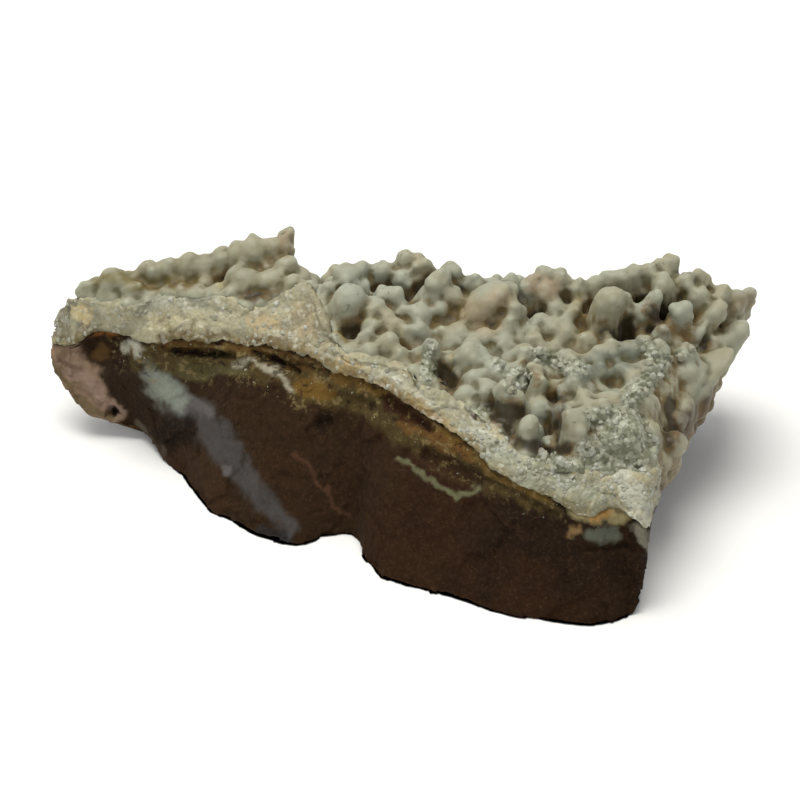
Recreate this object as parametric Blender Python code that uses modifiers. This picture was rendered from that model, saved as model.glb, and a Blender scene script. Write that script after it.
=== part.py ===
"""Rough agate: a broken hand specimen of finger chalcedony, grown as one crust on brown host rock.

The rock stands on a flat break. The crust lies on it like a slab: its broken edge faces the front,
and short fingers and round lumps stand up behind that edge. The origin is on the flat base.
Places that can be seen from the front are given as they look in an oblique view from above:
across and up in millimetres, with the height above the base.
"""
import math
import random

import bmesh
import bpy
import numpy as np
from mathutils import Matrix, Vector

MM = 0.001

# The oblique view that the places are read in: its height angle, its distance and its aim.
VIEW_ANGLE = math.radians(32)
VIEW_DISTANCE = 600.0
VIEW_AIM = (-0.9, 11.0, 17.6)
AIM_ACROSS = -0.86
AIM_UP = 20.69

# The middle of the plan, which every ring of the outline closes towards.
MIDDLE = (-8.0, 22.0)
STEPS_PER_STATION = 3
# Heights in the middle: of the bed between rock and crust, and of the field that the fingers stand on.
BED_HEIGHT = 21.0
FIELD_HEIGHT = 24.5
# The bed's ring just inside the rim is this far in and this much lower, and its skirt this far out.
BED_INSET = 5.0
BED_SINK = 1.0
BED_SKIRT = 18.0
GAP = 0.35
# The crust's broken edge: how far its slab starts below the rim, and its flat crest's width.
SLAB_ROOT = 5.0
CREST_WIDTH = 1.2
# The field begins this far in from the rim, this much above it.
FIELD_INSET = 6.0
FIELD_RISE = 2.5
# The rock's underside goes this far below the level that it stands on, and is cut off flat there.
BASE_DROP = 1.5
BASE_SHARE = 0.6
GROUND_SIZE = (0.2, 0.16, 0.03)
ABOVE_ALL = 60.0
BELOW_ALL = -10.0

ROCK_VOXEL = 1.3
ROCK_FACES = 2100
CRUST_VOXEL = 0.75
CRUST_FACES = 6600
SEED = 7


def seen_at(across, up, height):
    """Place in plan of a point that shows at (across, up) in the oblique view, from its height."""
    sine = math.sin(VIEW_ANGLE)
    cosine = math.cos(VIEW_ANGLE)
    side = across - AIM_ACROSS
    rise = up - AIM_UP
    above = height - VIEW_AIM[2]
    lift = rise * (1 - above * sine / VIEW_DISTANCE) - above * cosine
    deep = lift / (sine - rise * cosine / VIEW_DISTANCE)
    nearness = 1 + (deep * cosine - above * sine) / VIEW_DISTANCE
    return (VIEW_AIM[0] + side * nearness, VIEW_AIM[1] + deep, height)


# Stations round the stone, from the left tip along the broken front, up the right side and back.
# Each has the foot of the rock, the rim where the crust begins, and the crest of the crust's edge.
FRONT = (
    ((-60.3, 29.5, 15), (-61.0, 32.0, 17), (-60.0, 35.0, 20)),
    ((-59.2, 25.0, 11), (-57.8, 31.5, 18.5), (-58.0, 38.2, 25)),
    ((-55.5, 20.2, 7), (-53.5, 32.5, 20.5), (-52.5, 38.0, 27)),
    ((-51.0, 18.2, 5), (-49.0, 32.0, 21), (-47.0, 37.0, 28)),
    ((-46.5, 17.2, 4), (-44.5, 30.5, 22.5), (-43.0, 38.3, 29)),
    ((-42.0, 12.0, 2), (-39.5, 31.0, 24), (-38.5, 38.6, 30)),
    ((-38.5, 7.5, 0), (-34.0, 31.0, 25), (-34.0, 38.6, 31)),
    ((-34.0, 2.0, 0), (-29.0, 30.5, 26), (-30.3, 38.8, 32)),
    ((-30.0, 0.0, 0), (-25.0, 30.0, 27), (-26.5, 36.2, 31)),
    ((-26.0, -2.7, 0), (-21.0, 29.5, 27.5), (-21.0, 38.7, 33)),
    ((-19.0, -4.2, 0), (-16.5, 28.0, 27.5), (-16.4, 40.0, 35)),
    ((-14.0, -3.0, 0), (-12.5, 26.0, 27), (-12.8, 32.0, 31)),
    ((-9.0, -2.7, 0), (-8.5, 24.5, 26.5), (-8.3, 28.0, 30)),
    ((-6.5, -7.0, 0), (-5.0, 23.3, 26.3), (-4.0, 27.5, 29.5)),
    ((-3.5, -10.0, 0), (-1.5, 21.5, 25.7), (0.5, 26.0, 29)),
    ((2.0, -11.8, 0), (2.0, 19.0, 25), (3.8, 22.3, 28)),
    ((8.0, -13.2, 0), (6.0, 16.3, 24), (8.5, 21.0, 27)),
    ((15.0, -15.5, 0), (11.0, 13.0, 23), (14.5, 16.5, 25.5)),
    ((22.0, -17.0, 0), (17.0, 8.0, 21.5), (19.0, 12.0, 24)),
    ((29.0, -18.2, 0), (24.0, 4.3, 19.5), (25.0, 9.0, 22.5)),
    ((35.0, -18.0, 0), (30.5, 1.0, 18), (30.5, 8.0, 22)),
    ((38.5, -16.3, 0.5), (36.0, 2.5, 17.5), (36.5, 8.0, 21.5)),
    ((41.0, -11.5, 4), (41.5, -1.0, 15), (42.0, 8.0, 21)),
)
# The right side and the back are given in plan.
SIDES = (
    ((38.5, -14, 0), (42.2, -11.5, 11.5), (43.8, -8, 20)),
    ((40, 0, 0), (46.2, 1, 11.5), (47.0, 1, 21)),
    ((41, 10, 0), (50, 9.5, 12), (50.8, 9, 22)),
    ((42, 20, 0), (53.5, 18, 13), (53.8, 17, 22.5)),
    ((42, 29, 0), (56.8, 28, 15), (56.8, 26, 23.5)),
    ((40, 34, 1), (59.5, 35, 18), (59.3, 32, 25)),
    ((34, 36, 2), (54, 39, 18), (52.5, 36, 23.5)),
    ((24, 36, 0), (42, 41, 18.5), (41, 38.5, 24)),
    ((12, 34, 0), (28, 38.5, 19), (28, 36, 24)),
    ((2, 36, 0), (14, 39.5, 21), (14, 37, 25)),
    ((-8, 36, 0), (0, 37, 21), (0, 34.5, 25)),
    ((-18, 38, 0), (-13, 39, 22.5), (-13, 36.5, 26)),
    ((-27, 38, 0), (-26, 40.5, 23), (-25, 38, 27.5)),
    ((-35, 38, 1), (-37, 40.5, 22.5), (-36, 38.5, 26.5)),
    ((-42, 37, 3), (-47, 42, 20.5), (-46, 39.5, 25)),
    ((-48, 36, 8), (-55, 40, 19), (-54, 38.5, 24)),
    ((-53, 35, 12), (-59.5, 37, 17.5), (-58.5, 36, 22)),
)

# Fingers and round lumps of the crust: across, up and height of the round tip's middle,
# its radius, and how far the finger goes down from it.
BACK_LEFT = (
    (-51.0, 42.0, 29.0, 2.5, 5), (-47.5, 40.8, 28.0, 2.2, 4), (-43.0, 42.3, 30.0, 2.1, 5),
    (-40.5, 43.0, 30.5, 2.3, 5), (-37.5, 43.3, 31.0, 2.4, 5), (-34.5, 43.2, 31.0, 2.3, 5),
    (-31.5, 44.3, 32.0, 2.5, 6), (-37.0, 42.6, 30.0, 1.3, 3), (-29.0, 43.3, 32.0, 1.4, 4),
    (-32.0, 39.8, 31.0, 1.3, 3), (-26.0, 46.0, 34.5, 3.2, 8), (-23.0, 46.2, 34.5, 2.2, 7),
    (-28.5, 45.7, 34.0, 2.2, 7), (-21.2, 47.2, 35.5, 1.7, 6), (-20.2, 49.3, 37.0, 1.2, 4),
    (-24.0, 44.0, 33.0, 1.8, 5), (-20.7, 43.3, 33.5, 2.5, 7), (-27.5, 40.3, 31.5, 3.2, 6),
    (-23.0, 40.5, 32.0, 2.6, 6), (-19.2, 40.8, 33.5, 1.8, 5),
)
MIDDLE_FIELD = (
    (-10.0, 41.6, 35.0, 2.2, 8), (-13.2, 39.5, 33.5, 1.6, 6), (-10.0, 38.0, 34.5, 3.0, 13),
    (-11.0, 33.0, 31.5, 2.6, 8), (-4.0, 43.0, 35.0, 1.8, 8), (0.0, 44.7, 36.0, 1.6, 6),
    (2.4, 43.6, 35.5, 1.8, 7), (-0.5, 41.8, 34.5, 1.6, 6), (-1.5, 38.5, 33.5, 1.6, 6),
    (-5.5, 36.3, 33.0, 1.8, 7), (-3.5, 35.0, 32.0, 1.6, 6), (-6.0, 33.5, 31.5, 1.4, 5),
    (-2.0, 33.0, 31.0, 1.6, 5), (-3.0, 30.6, 30.5, 2.0, 6), (-6.5, 31.5, 30.5, 1.4, 5),
    (-6.0, 28.8, 29.0, 2.0, 5), (-7.3, 40.0, 33.5, 1.4, 5), (6.0, 41.3, 36.0, 2.0, 9),
    (3.6, 38.0, 33.5, 2.0, 8), (1.2, 35.0, 30.5, 2.1, 6), (0.2, 31.8, 28.0, 2.1, 5),
    (3.0, 35.0, 32.0, 2.2, 9), (3.8, 31.0, 29.5, 2.0, 6), (8.0, 42.5, 35.5, 1.9, 8),
    (8.5, 38.5, 33.5, 2.5, 8), (4.5, 29.6, 30.5, 1.7, 7), (3.6, 25.5, 27.5, 1.6, 5),
    (8.8, 34.8, 31.5, 2.6, 7), (12.0, 37.6, 33.0, 2.8, 8), (15.3, 39.3, 34.0, 2.6, 8),
    (13.8, 35.0, 31.0, 3.4, 8), (18.5, 36.5, 32.5, 2.2, 8), (17.8, 33.2, 30.5, 2.1, 7),
    (11.5, 31.5, 29.0, 2.3, 6), (12.0, 41.0, 34.5, 1.6, 6), (15.0, 40.6, 34.5, 1.4, 5),
    (18.5, 41.2, 34.5, 1.4, 6), (21.2, 40.3, 34.0, 1.5, 6), (24.2, 42.3, 35.5, 1.5, 7),
    (27.0, 41.2, 34.5, 1.6, 6), (24.0, 39.3, 33.0, 2.4, 6), (30.0, 39.8, 34.0, 1.4, 6),
    (32.6, 40.5, 34.0, 1.4, 6), (22.0, 32.0, 29.5, 1.6, 6), (23.0, 34.2, 30.5, 1.6, 6),
    (25.5, 33.0, 30.0, 1.7, 6), (27.6, 33.5, 30.0, 1.5, 6), (19.6, 31.3, 29.0, 1.4, 5),
    (29.0, 36.0, 31.5, 1.4, 5), (26.0, 36.6, 31.5, 1.7, 6),
)
RIGHT_FIELD = (
    (34.5, 38.6, 34.5, 2.4, 12), (37.5, 37.8, 33.5, 1.7, 6), (34.7, 33.0, 31.0, 3.0, 8),
    (31.3, 30.6, 28.5, 2.0, 5), (42.8, 38.0, 33.5, 1.7, 7), (41.0, 36.0, 32.0, 1.6, 6),
    (47.5, 36.2, 32.0, 2.3, 8), (53.3, 36.0, 30.0, 2.3, 8), (50.5, 38.5, 32.0, 1.9, 7),
    (44.5, 40.3, 34.0, 1.9, 7), (35.2, 41.8, 35.0, 1.4, 6), (39.8, 42.4, 35.0, 1.5, 6),
    (41.8, 42.6, 35.0, 1.9, 7), (46.0, 44.2, 35.5, 1.3, 6), (48.5, 40.8, 33.5, 1.7, 6),
    (50.9, 41.6, 33.5, 1.4, 6), (56.3, 37.2, 29.0, 2.5, 5), (59.8, 38.6, 29.0, 1.2, 4),
    (54.5, 38.6, 31.0, 1.8, 6), (56.2, 32.6, 26.0, 2.1, 4), (44.2, 31.8, 29.0, 1.7, 6),
    (50.0, 33.0, 28.5, 2.3, 7), (53.6, 30.0, 25.0, 2.1, 4), (38.5, 35.2, 30.0, 1.8, 5),
    (30.0, 26.3, 26.5, 2.3, 4), (33.0, 27.2, 27.3, 2.5, 4), (36.0, 27.9, 28.0, 2.6, 5),
    (39.0, 28.8, 28.4, 2.5, 5), (41.0, 30.0, 28.6, 1.9, 5), (23.5, 28.2, 28.5, 1.9, 6),
    (28.0, 27.2, 27.6, 2.2, 7), (25.0, 23.5, 25.0, 2.8, 5), (31.5, 23.3, 24.5, 2.0, 5),
    (16.0, 25.2, 28.0, 2.7, 6), (19.3, 24.6, 27.6, 2.5, 6), (17.5, 22.0, 26.0, 2.6, 5),
    (10.5, 21.0, 25.8, 2.6, 4), (12.3, 23.8, 27.0, 2.6, 5), (13.8, 26.3, 28.0, 2.3, 6),
    (11.0, 28.2, 29.5, 2.4, 7), (10.0, 18.0, 25.0, 2.4, 3), (13.0, 18.4, 25.0, 2.2, 3),
    (28.0, 22.6, 28.0, 1.8, 5), (28.8, 19.5, 25.5, 2.2, 5), (29.8, 16.8, 23.0, 2.5, 4),
    (21.0, 15.8, 23.5, 2.7, 4), (23.0, 18.8, 24.8, 2.4, 5), (24.5, 13.3, 22.5, 1.3, 3),
    (25.6, 17.0, 23.4, 1.6, 4), (35.3, 19.0, 25.5, 3.6, 5), (38.0, 20.5, 25.8, 2.2, 4),
    (40.0, 22.8, 26.6, 2.3, 5), (41.8, 25.3, 27.6, 2.2, 5), (43.3, 28.6, 28.8, 2.2, 6),
    (48.3, 28.2, 26.8, 2.0, 6), (37.5, 14.0, 23.8, 4.0, 4), (41.5, 14.6, 22.5, 2.6, 4),
    (34.0, 12.5, 22.8, 3.4, 4), (40.3, 10.5, 20.8, 2.6, 4), (28.0, 8.5, 21.6, 2.8, 3),
    (46.0, 23.6, 23.5, 2.4, 6), (49.0, 24.8, 23.2, 2.4, 6), (51.8, 26.2, 23.3, 2.2, 4),
    (44.6, 12.0, 17.0, 2.6, 5), (47.5, 18.5, 19.5, 2.4, 5), (50.4, 20.6, 18.8, 2.2, 3),
)
# Lumps that fill the rest of the field: where they stand, their spacing and jitter, how far they
# root in it, how close they come to a finger, their radii and their heights above the field.
FILL_X = (-58, 60)
FILL_Y = (-20, 40)
FILL_SPACING = 4.2
FILL_JITTER = 1.3
FILL_ROOT = 2.0
CROWDED = 0.6
FIELD_AT_CREST = (24, 28, 20)
FILL_RADIUS = (1.4, 2.3)
FILL_RISE = (2.5, 6.5)
FILL_EDGE = 0.92
BACK_ROWS = 25.0
BACK_ROW_RISE = 0.45


def closed_curve(points, steps):
    """Points of the smooth closed curve through the given ones, with this many to each."""
    p = np.array(points, float)
    before = np.roll(p, 1, 0)
    after = np.roll(p, -1, 0)
    beyond = np.roll(p, -2, 0)
    rows = []
    for t in np.arange(steps) / steps:
        rows.append(0.5 * (2 * p + (after - before) * t + (2 * before - 5 * p + 4 * after - beyond) * t ** 2
                           + (3 * p - before - 3 * after + beyond) * t ** 3))
    return np.stack(rows, 1).reshape(-1, 3)


def outline(level):
    """The ring round the stone at one level: 0 foot, 1 rim, 2 crest."""
    stations = [seen_at(*station[level]) for station in FRONT] + [station[level] for station in SIDES]
    return closed_curve(stations, STEPS_PER_STATION)


def drawn_in(ring, share, height=None):
    """The ring shrunk towards the middle of the plan, its heights moved towards a height."""
    out = ring.copy()
    out[:, :2] = MIDDLE + (ring[:, :2] - MIDDLE) * share
    if height is not None:
        out[:, 2] = height + (ring[:, 2] - height) * share
    return out


def moved_in(ring, distance):
    """The ring with every point moved this far towards the middle of the plan."""
    out = ring.copy()
    inward = MIDDLE - ring[:, :2]
    out[:, :2] += inward / np.linalg.norm(inward, axis=1)[:, None] * distance
    return out


def at_height(ring, height):
    out = ring.copy()
    out[:, 2] = height
    return out


def lifted(ring, rise):
    return ring + (0, 0, rise)


def bed_rings(rise):
    """Rings of the bed between rock and crust, from the middle outward past the rim."""
    rim = outline(1)
    rings = (drawn_in(rim, 0.05, BED_HEIGHT), drawn_in(rim, 0.45, BED_HEIGHT),
             lifted(moved_in(rim, BED_INSET), -BED_SINK), rim, moved_in(rim, -BED_SKIRT))
    return tuple(lifted(ring, rise) for ring in rings)


def loft(bm, rings):
    """Closes a stack of equal rings, from the bottom one to the top one, and fills both ends."""
    loops = []
    for ring in rings:
        loops.append([bm.verts.new(Vector(point) * MM) for point in ring])
    for lower, upper in zip(loops, loops[1:]):
        for i in range(len(lower)):
            j = (i + 1) % len(lower)
            bm.faces.new((lower[i], lower[j], upper[j]))
            bm.faces.new((lower[i], upper[j], upper[i]))
    for loop, turned in ((loops[0], True), (loops[-1], False)):
        centre = sum((vert.co for vert in loop), Vector()) / len(loop)
        hub = bm.verts.new((MIDDLE[0] * MM, MIDDLE[1] * MM, centre.z))
        for i in range(len(loop)):
            j = (i + 1) % len(loop)
            pair = (loop[j], loop[i]) if turned else (loop[i], loop[j])
            bm.faces.new((*pair, hub))


def new_object(name, bm, collection):
    bmesh.ops.recalc_face_normals(bm, faces=bm.faces)
    mesh = bpy.data.meshes.new(name)
    bm.to_mesh(mesh)
    bm.free()
    obj = bpy.data.objects.new(name, mesh)
    collection.objects.link(obj)
    return obj


def new_cutter(name, bm, collection):
    obj = new_object(name, bm, collection)
    obj.hide_render = True
    obj.display_type = "WIRE"
    return obj


def ring_cutter(name, rings, collection):
    bm = bmesh.new()
    loft(bm, rings)
    return new_cutter(name, bm, collection)


def ground_block(collection):
    """A block whose top is the level that the stone stands on."""
    bm = bmesh.new()
    place = Matrix.Translation((0, 0, -GROUND_SIZE[2] / 2))
    bmesh.ops.create_cube(bm, size=1, matrix=place @ Matrix.Diagonal((*GROUND_SIZE, 1)))
    return new_cutter("below the base", bm, collection)


def stone_material(name, colour, roughness):
    material = bpy.data.materials.new(name)
    material.use_nodes = True
    shader = material.node_tree.nodes["Principled BSDF"]
    shader.inputs["Base Color"].default_value = (*colour, 1)
    shader.inputs["Roughness"].default_value = roughness
    shader.inputs["Metallic"].default_value = 0
    return material


def roughen(obj, name, kind, size, strength):
    """A Displace modifier that pushes the surface in and out by a noise of this size."""
    texture = bpy.data.textures.new(name, kind)
    texture.noise_scale = size * MM
    displace = obj.modifiers.new(name, "DISPLACE")
    displace.texture = texture
    displace.texture_coords = "LOCAL"
    displace.strength = strength * MM
    displace.mid_level = 0.5


def settle(obj):
    """Applies the object's modifiers and drops every crumb that isn't joined to the main body."""
    graph = bpy.context.evaluated_depsgraph_get()
    mesh = bpy.data.meshes.new_from_object(obj.evaluated_get(graph))
    obj.modifiers.clear()
    bm = bmesh.new()
    bm.from_mesh(mesh)
    left = set(bm.verts)
    bodies = []
    while left:
        front = {left.pop()}
        body = set(front)
        while front:
            front = {edge.other_vert(vert) for vert in front for edge in vert.link_edges} & left
            left -= front
            body |= front
        bodies.append(body)
    main_body = max(bodies, key=len)
    crumbs = [vert for vert in bm.verts if vert not in main_body]
    bmesh.ops.delete(bm, geom=crumbs, context="VERTS")
    bm.to_mesh(mesh)
    bm.free()
    obj.data = mesh


def fuse(obj, voxel, smoothing):
    """Melts overlapping shapes into one skin and softens the creases between them."""
    remesh = obj.modifiers.new("fuse", "REMESH")
    remesh.mode = "VOXEL"
    remesh.voxel_size = voxel * MM
    smooth = obj.modifiers.new("soften", "SMOOTH")
    smooth.iterations = smoothing


def thin_out(obj, faces):
    """Leaves about this many triangles."""
    settle(obj)
    count = sum(len(polygon.vertices) - 2 for polygon in obj.data.polygons)
    decimate = obj.modifiers.new("thin out", "DECIMATE")
    decimate.ratio = min(1.0, faces / count)


def cut(obj, other):
    boolean = obj.modifiers.new("cut by " + other.name, "BOOLEAN")
    boolean.operation = "DIFFERENCE"
    boolean.object = other


def ball(bm, centre, radius):
    bmesh.ops.create_icosphere(
        bm, subdivisions=2, radius=radius * MM, matrix=Matrix.Translation(Vector(centre) * MM))


def finger(bm, tip, radius, drop, lean):
    """A finger of overlapping balls from its tip down, a little thicker towards its foot."""
    count = max(2, round(drop / (radius * 0.8)))
    for i in range(count + 1):
        share = i / count
        swell = 1 + 0.12 * share + 0.06 * math.sin(3.0 * i + tip[0])
        centre = Vector(tip) + Vector((lean[0], lean[1], -1)) * drop * share
        ball(bm, centre, radius * swell)


def field_level(x, share):
    """Height of the field at x, this share of the way from the middle to the crest."""
    at_crest = np.interp(x, (-60, -20, 60), FIELD_AT_CREST)
    return FIELD_HEIGHT + (at_crest - FIELD_HEIGHT) * share


def fill_places(taken, chance):
    """Places for the smaller lumps between the fingers, on a jittered grid inside the crest."""
    spokes = outline(2)[:, :2] - MIDDLE
    angles = np.arctan2(spokes[:, 1], spokes[:, 0])
    order = np.argsort(angles)
    reach = np.hypot(spokes[:, 0], spokes[:, 1])
    places = []
    for x in np.arange(*FILL_X, FILL_SPACING):
        for y in np.arange(*FILL_Y, FILL_SPACING):
            px = x + chance.uniform(-FILL_JITTER, FILL_JITTER)
            py = y + chance.uniform(-FILL_JITTER, FILL_JITTER)
            radius = chance.uniform(*FILL_RADIUS)
            rise = chance.uniform(*FILL_RISE) * (BACK_ROW_RISE if y > BACK_ROWS else 1)
            angle = math.atan2(py - MIDDLE[1], px - MIDDLE[0])
            edge = np.interp(angle, angles[order], reach[order], period=2 * math.pi)
            share = math.hypot(px - MIDDLE[0], py - MIDDLE[1]) / edge
            crowded = any(math.hypot(px - tip[0], py - tip[1]) < r + CROWDED for tip, r in taken)
            if share < FILL_EDGE and not crowded:
                places.append(((px, py, field_level(px, share) + rise), radius, rise + FILL_ROOT))
    return places


def build_matrix(parts, cutters):
    """Brown host rock: foot to rim, roughened, its top cut to the bed and its base cut flat."""
    foot = lifted(outline(0), -BASE_DROP)
    rim = outline(1)
    bm = bmesh.new()
    base = at_height(drawn_in(foot, BASE_SHARE), -BASE_DROP)
    loft(bm, (base, foot, (foot + rim) / 2, rim, lifted(rim, SLAB_ROOT)))
    rock = new_object("matrix", bm, parts)
    fuse(rock, ROCK_VOXEL, 2)
    roughen(rock, "broad breaks", "CLOUDS", 9.0, 2.2)
    roughen(rock, "small breaks", "STUCCI", 2.5, 0.9)
    thin_out(rock, ROCK_FACES)
    bed = bed_rings(0)
    cut(rock, ring_cutter("above the bed", (*bed, at_height(bed[-1], ABOVE_ALL)), cutters))
    cut(rock, ground_block(cutters))
    settle(rock)
    rock.data.materials.append(stone_material("brown host rock", (0.075, 0.038, 0.020), 0.85))
    return rock


def build_crust(parts, cutters):
    """Chalcedony crust: the broken slab edge, its fingers and lumps, all grown together."""
    chance = random.Random(SEED)
    rim = outline(1)
    crest = outline(2)
    bm = bmesh.new()
    field = lifted(moved_in(rim, FIELD_INSET), FIELD_RISE)
    loft(bm, (lifted(rim, -SLAB_ROOT), rim, crest, moved_in(crest, CREST_WIDTH), field,
              drawn_in(lifted(rim, FIELD_RISE), 0.45, FIELD_HEIGHT)))
    taken = []
    for across, up, height, radius, drop in BACK_LEFT + MIDDLE_FIELD + RIGHT_FIELD:
        tip = seen_at(across, up, height)
        lean = (chance.uniform(-0.12, 0.12), chance.uniform(-0.1, 0.15))
        finger(bm, tip, radius, drop, lean)
        taken.append((tip, radius))
    for tip, radius, drop in fill_places(taken, chance):
        lean = (chance.uniform(-0.15, 0.15), chance.uniform(-0.15, 0.15))
        finger(bm, tip, radius, drop, lean)
    crust = new_object("crust", bm, parts)
    fuse(crust, CRUST_VOXEL, 1)
    roughen(crust, "sugary lumps", "CLOUDS", 2.2, 0.7)
    thin_out(crust, CRUST_FACES)
    bed = bed_rings(GAP)
    cut(crust, ring_cutter("below the crust", (*bed, at_height(bed[-1], BELOW_ALL)), cutters))
    settle(crust)
    crust.data.materials.append(stone_material("grey chalcedony", (0.42, 0.40, 0.32), 0.45))
    crust.data.shade_smooth()
    return crust


def new_collection(name):
    collection = bpy.data.collections.new(name)
    bpy.context.scene.collection.children.link(collection)
    return collection


def main():
    for obj in list(bpy.data.objects):
        bpy.data.objects.remove(obj)
    parts = new_collection("rough agate")
    cutters = new_collection("cutters")
    build_matrix(parts, cutters)
    build_crust(parts, cutters)


main()
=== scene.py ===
# %% [markdown]
# # Rough agate: finger chalcedony on brown host rock
# The real piece is a broken hand specimen. It is modelled 125 mm long, and that size is a guess. A crust
# of grey-green chalcedony grew as short round fingers on a rusty brown rock, and the front is a fresh
# break that cuts through both.
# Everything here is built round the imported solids, so the first step loads them and keeps their box.

# %% Load the frame
import math

import bpy
import numpy as np
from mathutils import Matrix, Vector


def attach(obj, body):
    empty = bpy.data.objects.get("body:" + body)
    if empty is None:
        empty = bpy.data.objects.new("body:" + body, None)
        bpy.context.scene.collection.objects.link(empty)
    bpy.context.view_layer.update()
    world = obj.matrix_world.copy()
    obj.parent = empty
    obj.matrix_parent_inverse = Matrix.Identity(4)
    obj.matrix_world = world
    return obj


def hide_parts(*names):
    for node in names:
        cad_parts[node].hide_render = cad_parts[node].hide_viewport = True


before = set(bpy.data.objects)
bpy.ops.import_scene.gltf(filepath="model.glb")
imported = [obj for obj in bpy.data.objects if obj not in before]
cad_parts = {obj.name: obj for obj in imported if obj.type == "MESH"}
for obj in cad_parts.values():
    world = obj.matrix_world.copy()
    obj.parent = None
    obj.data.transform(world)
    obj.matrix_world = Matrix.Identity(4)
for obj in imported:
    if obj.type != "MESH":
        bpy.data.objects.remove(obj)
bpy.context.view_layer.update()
MM = 0.001

# %% [markdown]
# ## The view
# The stone is seen from its front, about 32 degrees above it. The camera stands there, 600 mm away.
# A floor that is almost white and three large soft lamps give the light of a product photograph.
# The same view also says where things are: a place is written as it looks, in millimetres across and
# up, and the two functions below turn such a place into a point and a point into such a place.

# %% Camera, and places as they look from it
VIEW_ANGLE = math.radians(32)
VIEW_DISTANCE = 600.0
VIEW_AIM = np.array((-0.9, 11.0, 17.6))
AIM_LOOKS = np.array((-0.86, 20.69))
PICTURE_WIDTH, PIXELS_PER_MM = 800, 5.8
SENSOR_WIDTH = 36
SINE, COSINE = math.sin(VIEW_ANGLE), math.cos(VIEW_ANGLE)


def seen_at(across, up, height):
    """Points that show at (across, up): a ray through that place, followed to the given height."""
    across, up, height = np.broadcast_arrays(across, up, height)
    side, rise = across - AIM_LOOKS[0], up - AIM_LOOKS[1]
    above = height - VIEW_AIM[2]
    lift = rise * (1 - above * SINE / VIEW_DISTANCE) - above * COSINE
    deep = lift / (SINE - rise * COSINE / VIEW_DISTANCE)
    nearness = 1 + (deep * COSINE - above * SINE) / VIEW_DISTANCE
    return np.stack((VIEW_AIM[0] + side * nearness, VIEW_AIM[1] + deep, height + 0.0), -1)


def looks_at(points):
    """Across and up of each point: its offset from the aim, divided by its share of the distance."""
    offset = points - VIEW_AIM
    nearness = 1 + (offset[:, 1] * COSINE - offset[:, 2] * SINE) / VIEW_DISTANCE
    across = AIM_LOOKS[0] + offset[:, 0] / nearness
    return np.stack((across, AIM_LOOKS[1] + (offset[:, 1] * SINE + offset[:, 2] * COSINE) / nearness), 1)


camera = bpy.data.objects.new("camera", bpy.data.cameras.new("camera"))
camera.location = (VIEW_AIM + VIEW_DISTANCE * np.array((0, -COSINE, SINE))) * MM
camera.rotation_euler = (math.pi / 2 - VIEW_ANGLE, 0, 0)
camera.data.sensor_width = SENSOR_WIDTH
camera.data.lens = SENSOR_WIDTH * VIEW_DISTANCE / (PICTURE_WIDTH / PIXELS_PER_MM)
camera.data.clip_start, camera.data.clip_end = 0.01, 20
bpy.context.scene.collection.objects.link(camera)
bpy.context.scene.camera = camera
print("lens:", round(camera.data.lens, 1), "mm")

# %% [markdown]
# ## Shader maths in plain Python
# A procedural material is a sum of noises and masks. Written as node calls it can't be read, so a small
# class wraps a socket and gives it the signs of Python: `1 - mask` adds a Math node by itself.
# A second class holds one material, and adds any other node from its type, settings and values.

# %% The shader classes
class Amount:
    """A socket that carries a number. Python's signs on it add Math nodes."""

    def __init__(self, recipe, socket):
        self.recipe, self.socket = recipe, socket

    def _with(self, operation, first, second=0.0):
        return self.recipe.number("ShaderNodeMath", {"operation": operation}, {0: first, 1: second})

    def __add__(self, other):
        return self._with("ADD", self, other)

    def __sub__(self, other):
        return self._with("SUBTRACT", self, other)

    def __rsub__(self, other):
        return self._with("SUBTRACT", other, self)

    def __mul__(self, other):
        return self._with("MULTIPLY", self, other)

    __radd__, __rmul__ = __add__, __mul__

    def between(self, low, high):
        """0 below low, 1 above high, and a smooth step between them."""
        return self.recipe.number(
            "ShaderNodeMapRange", {"interpolation_type": "SMOOTHSTEP"}, {0: self, 1: low, 2: high})


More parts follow.
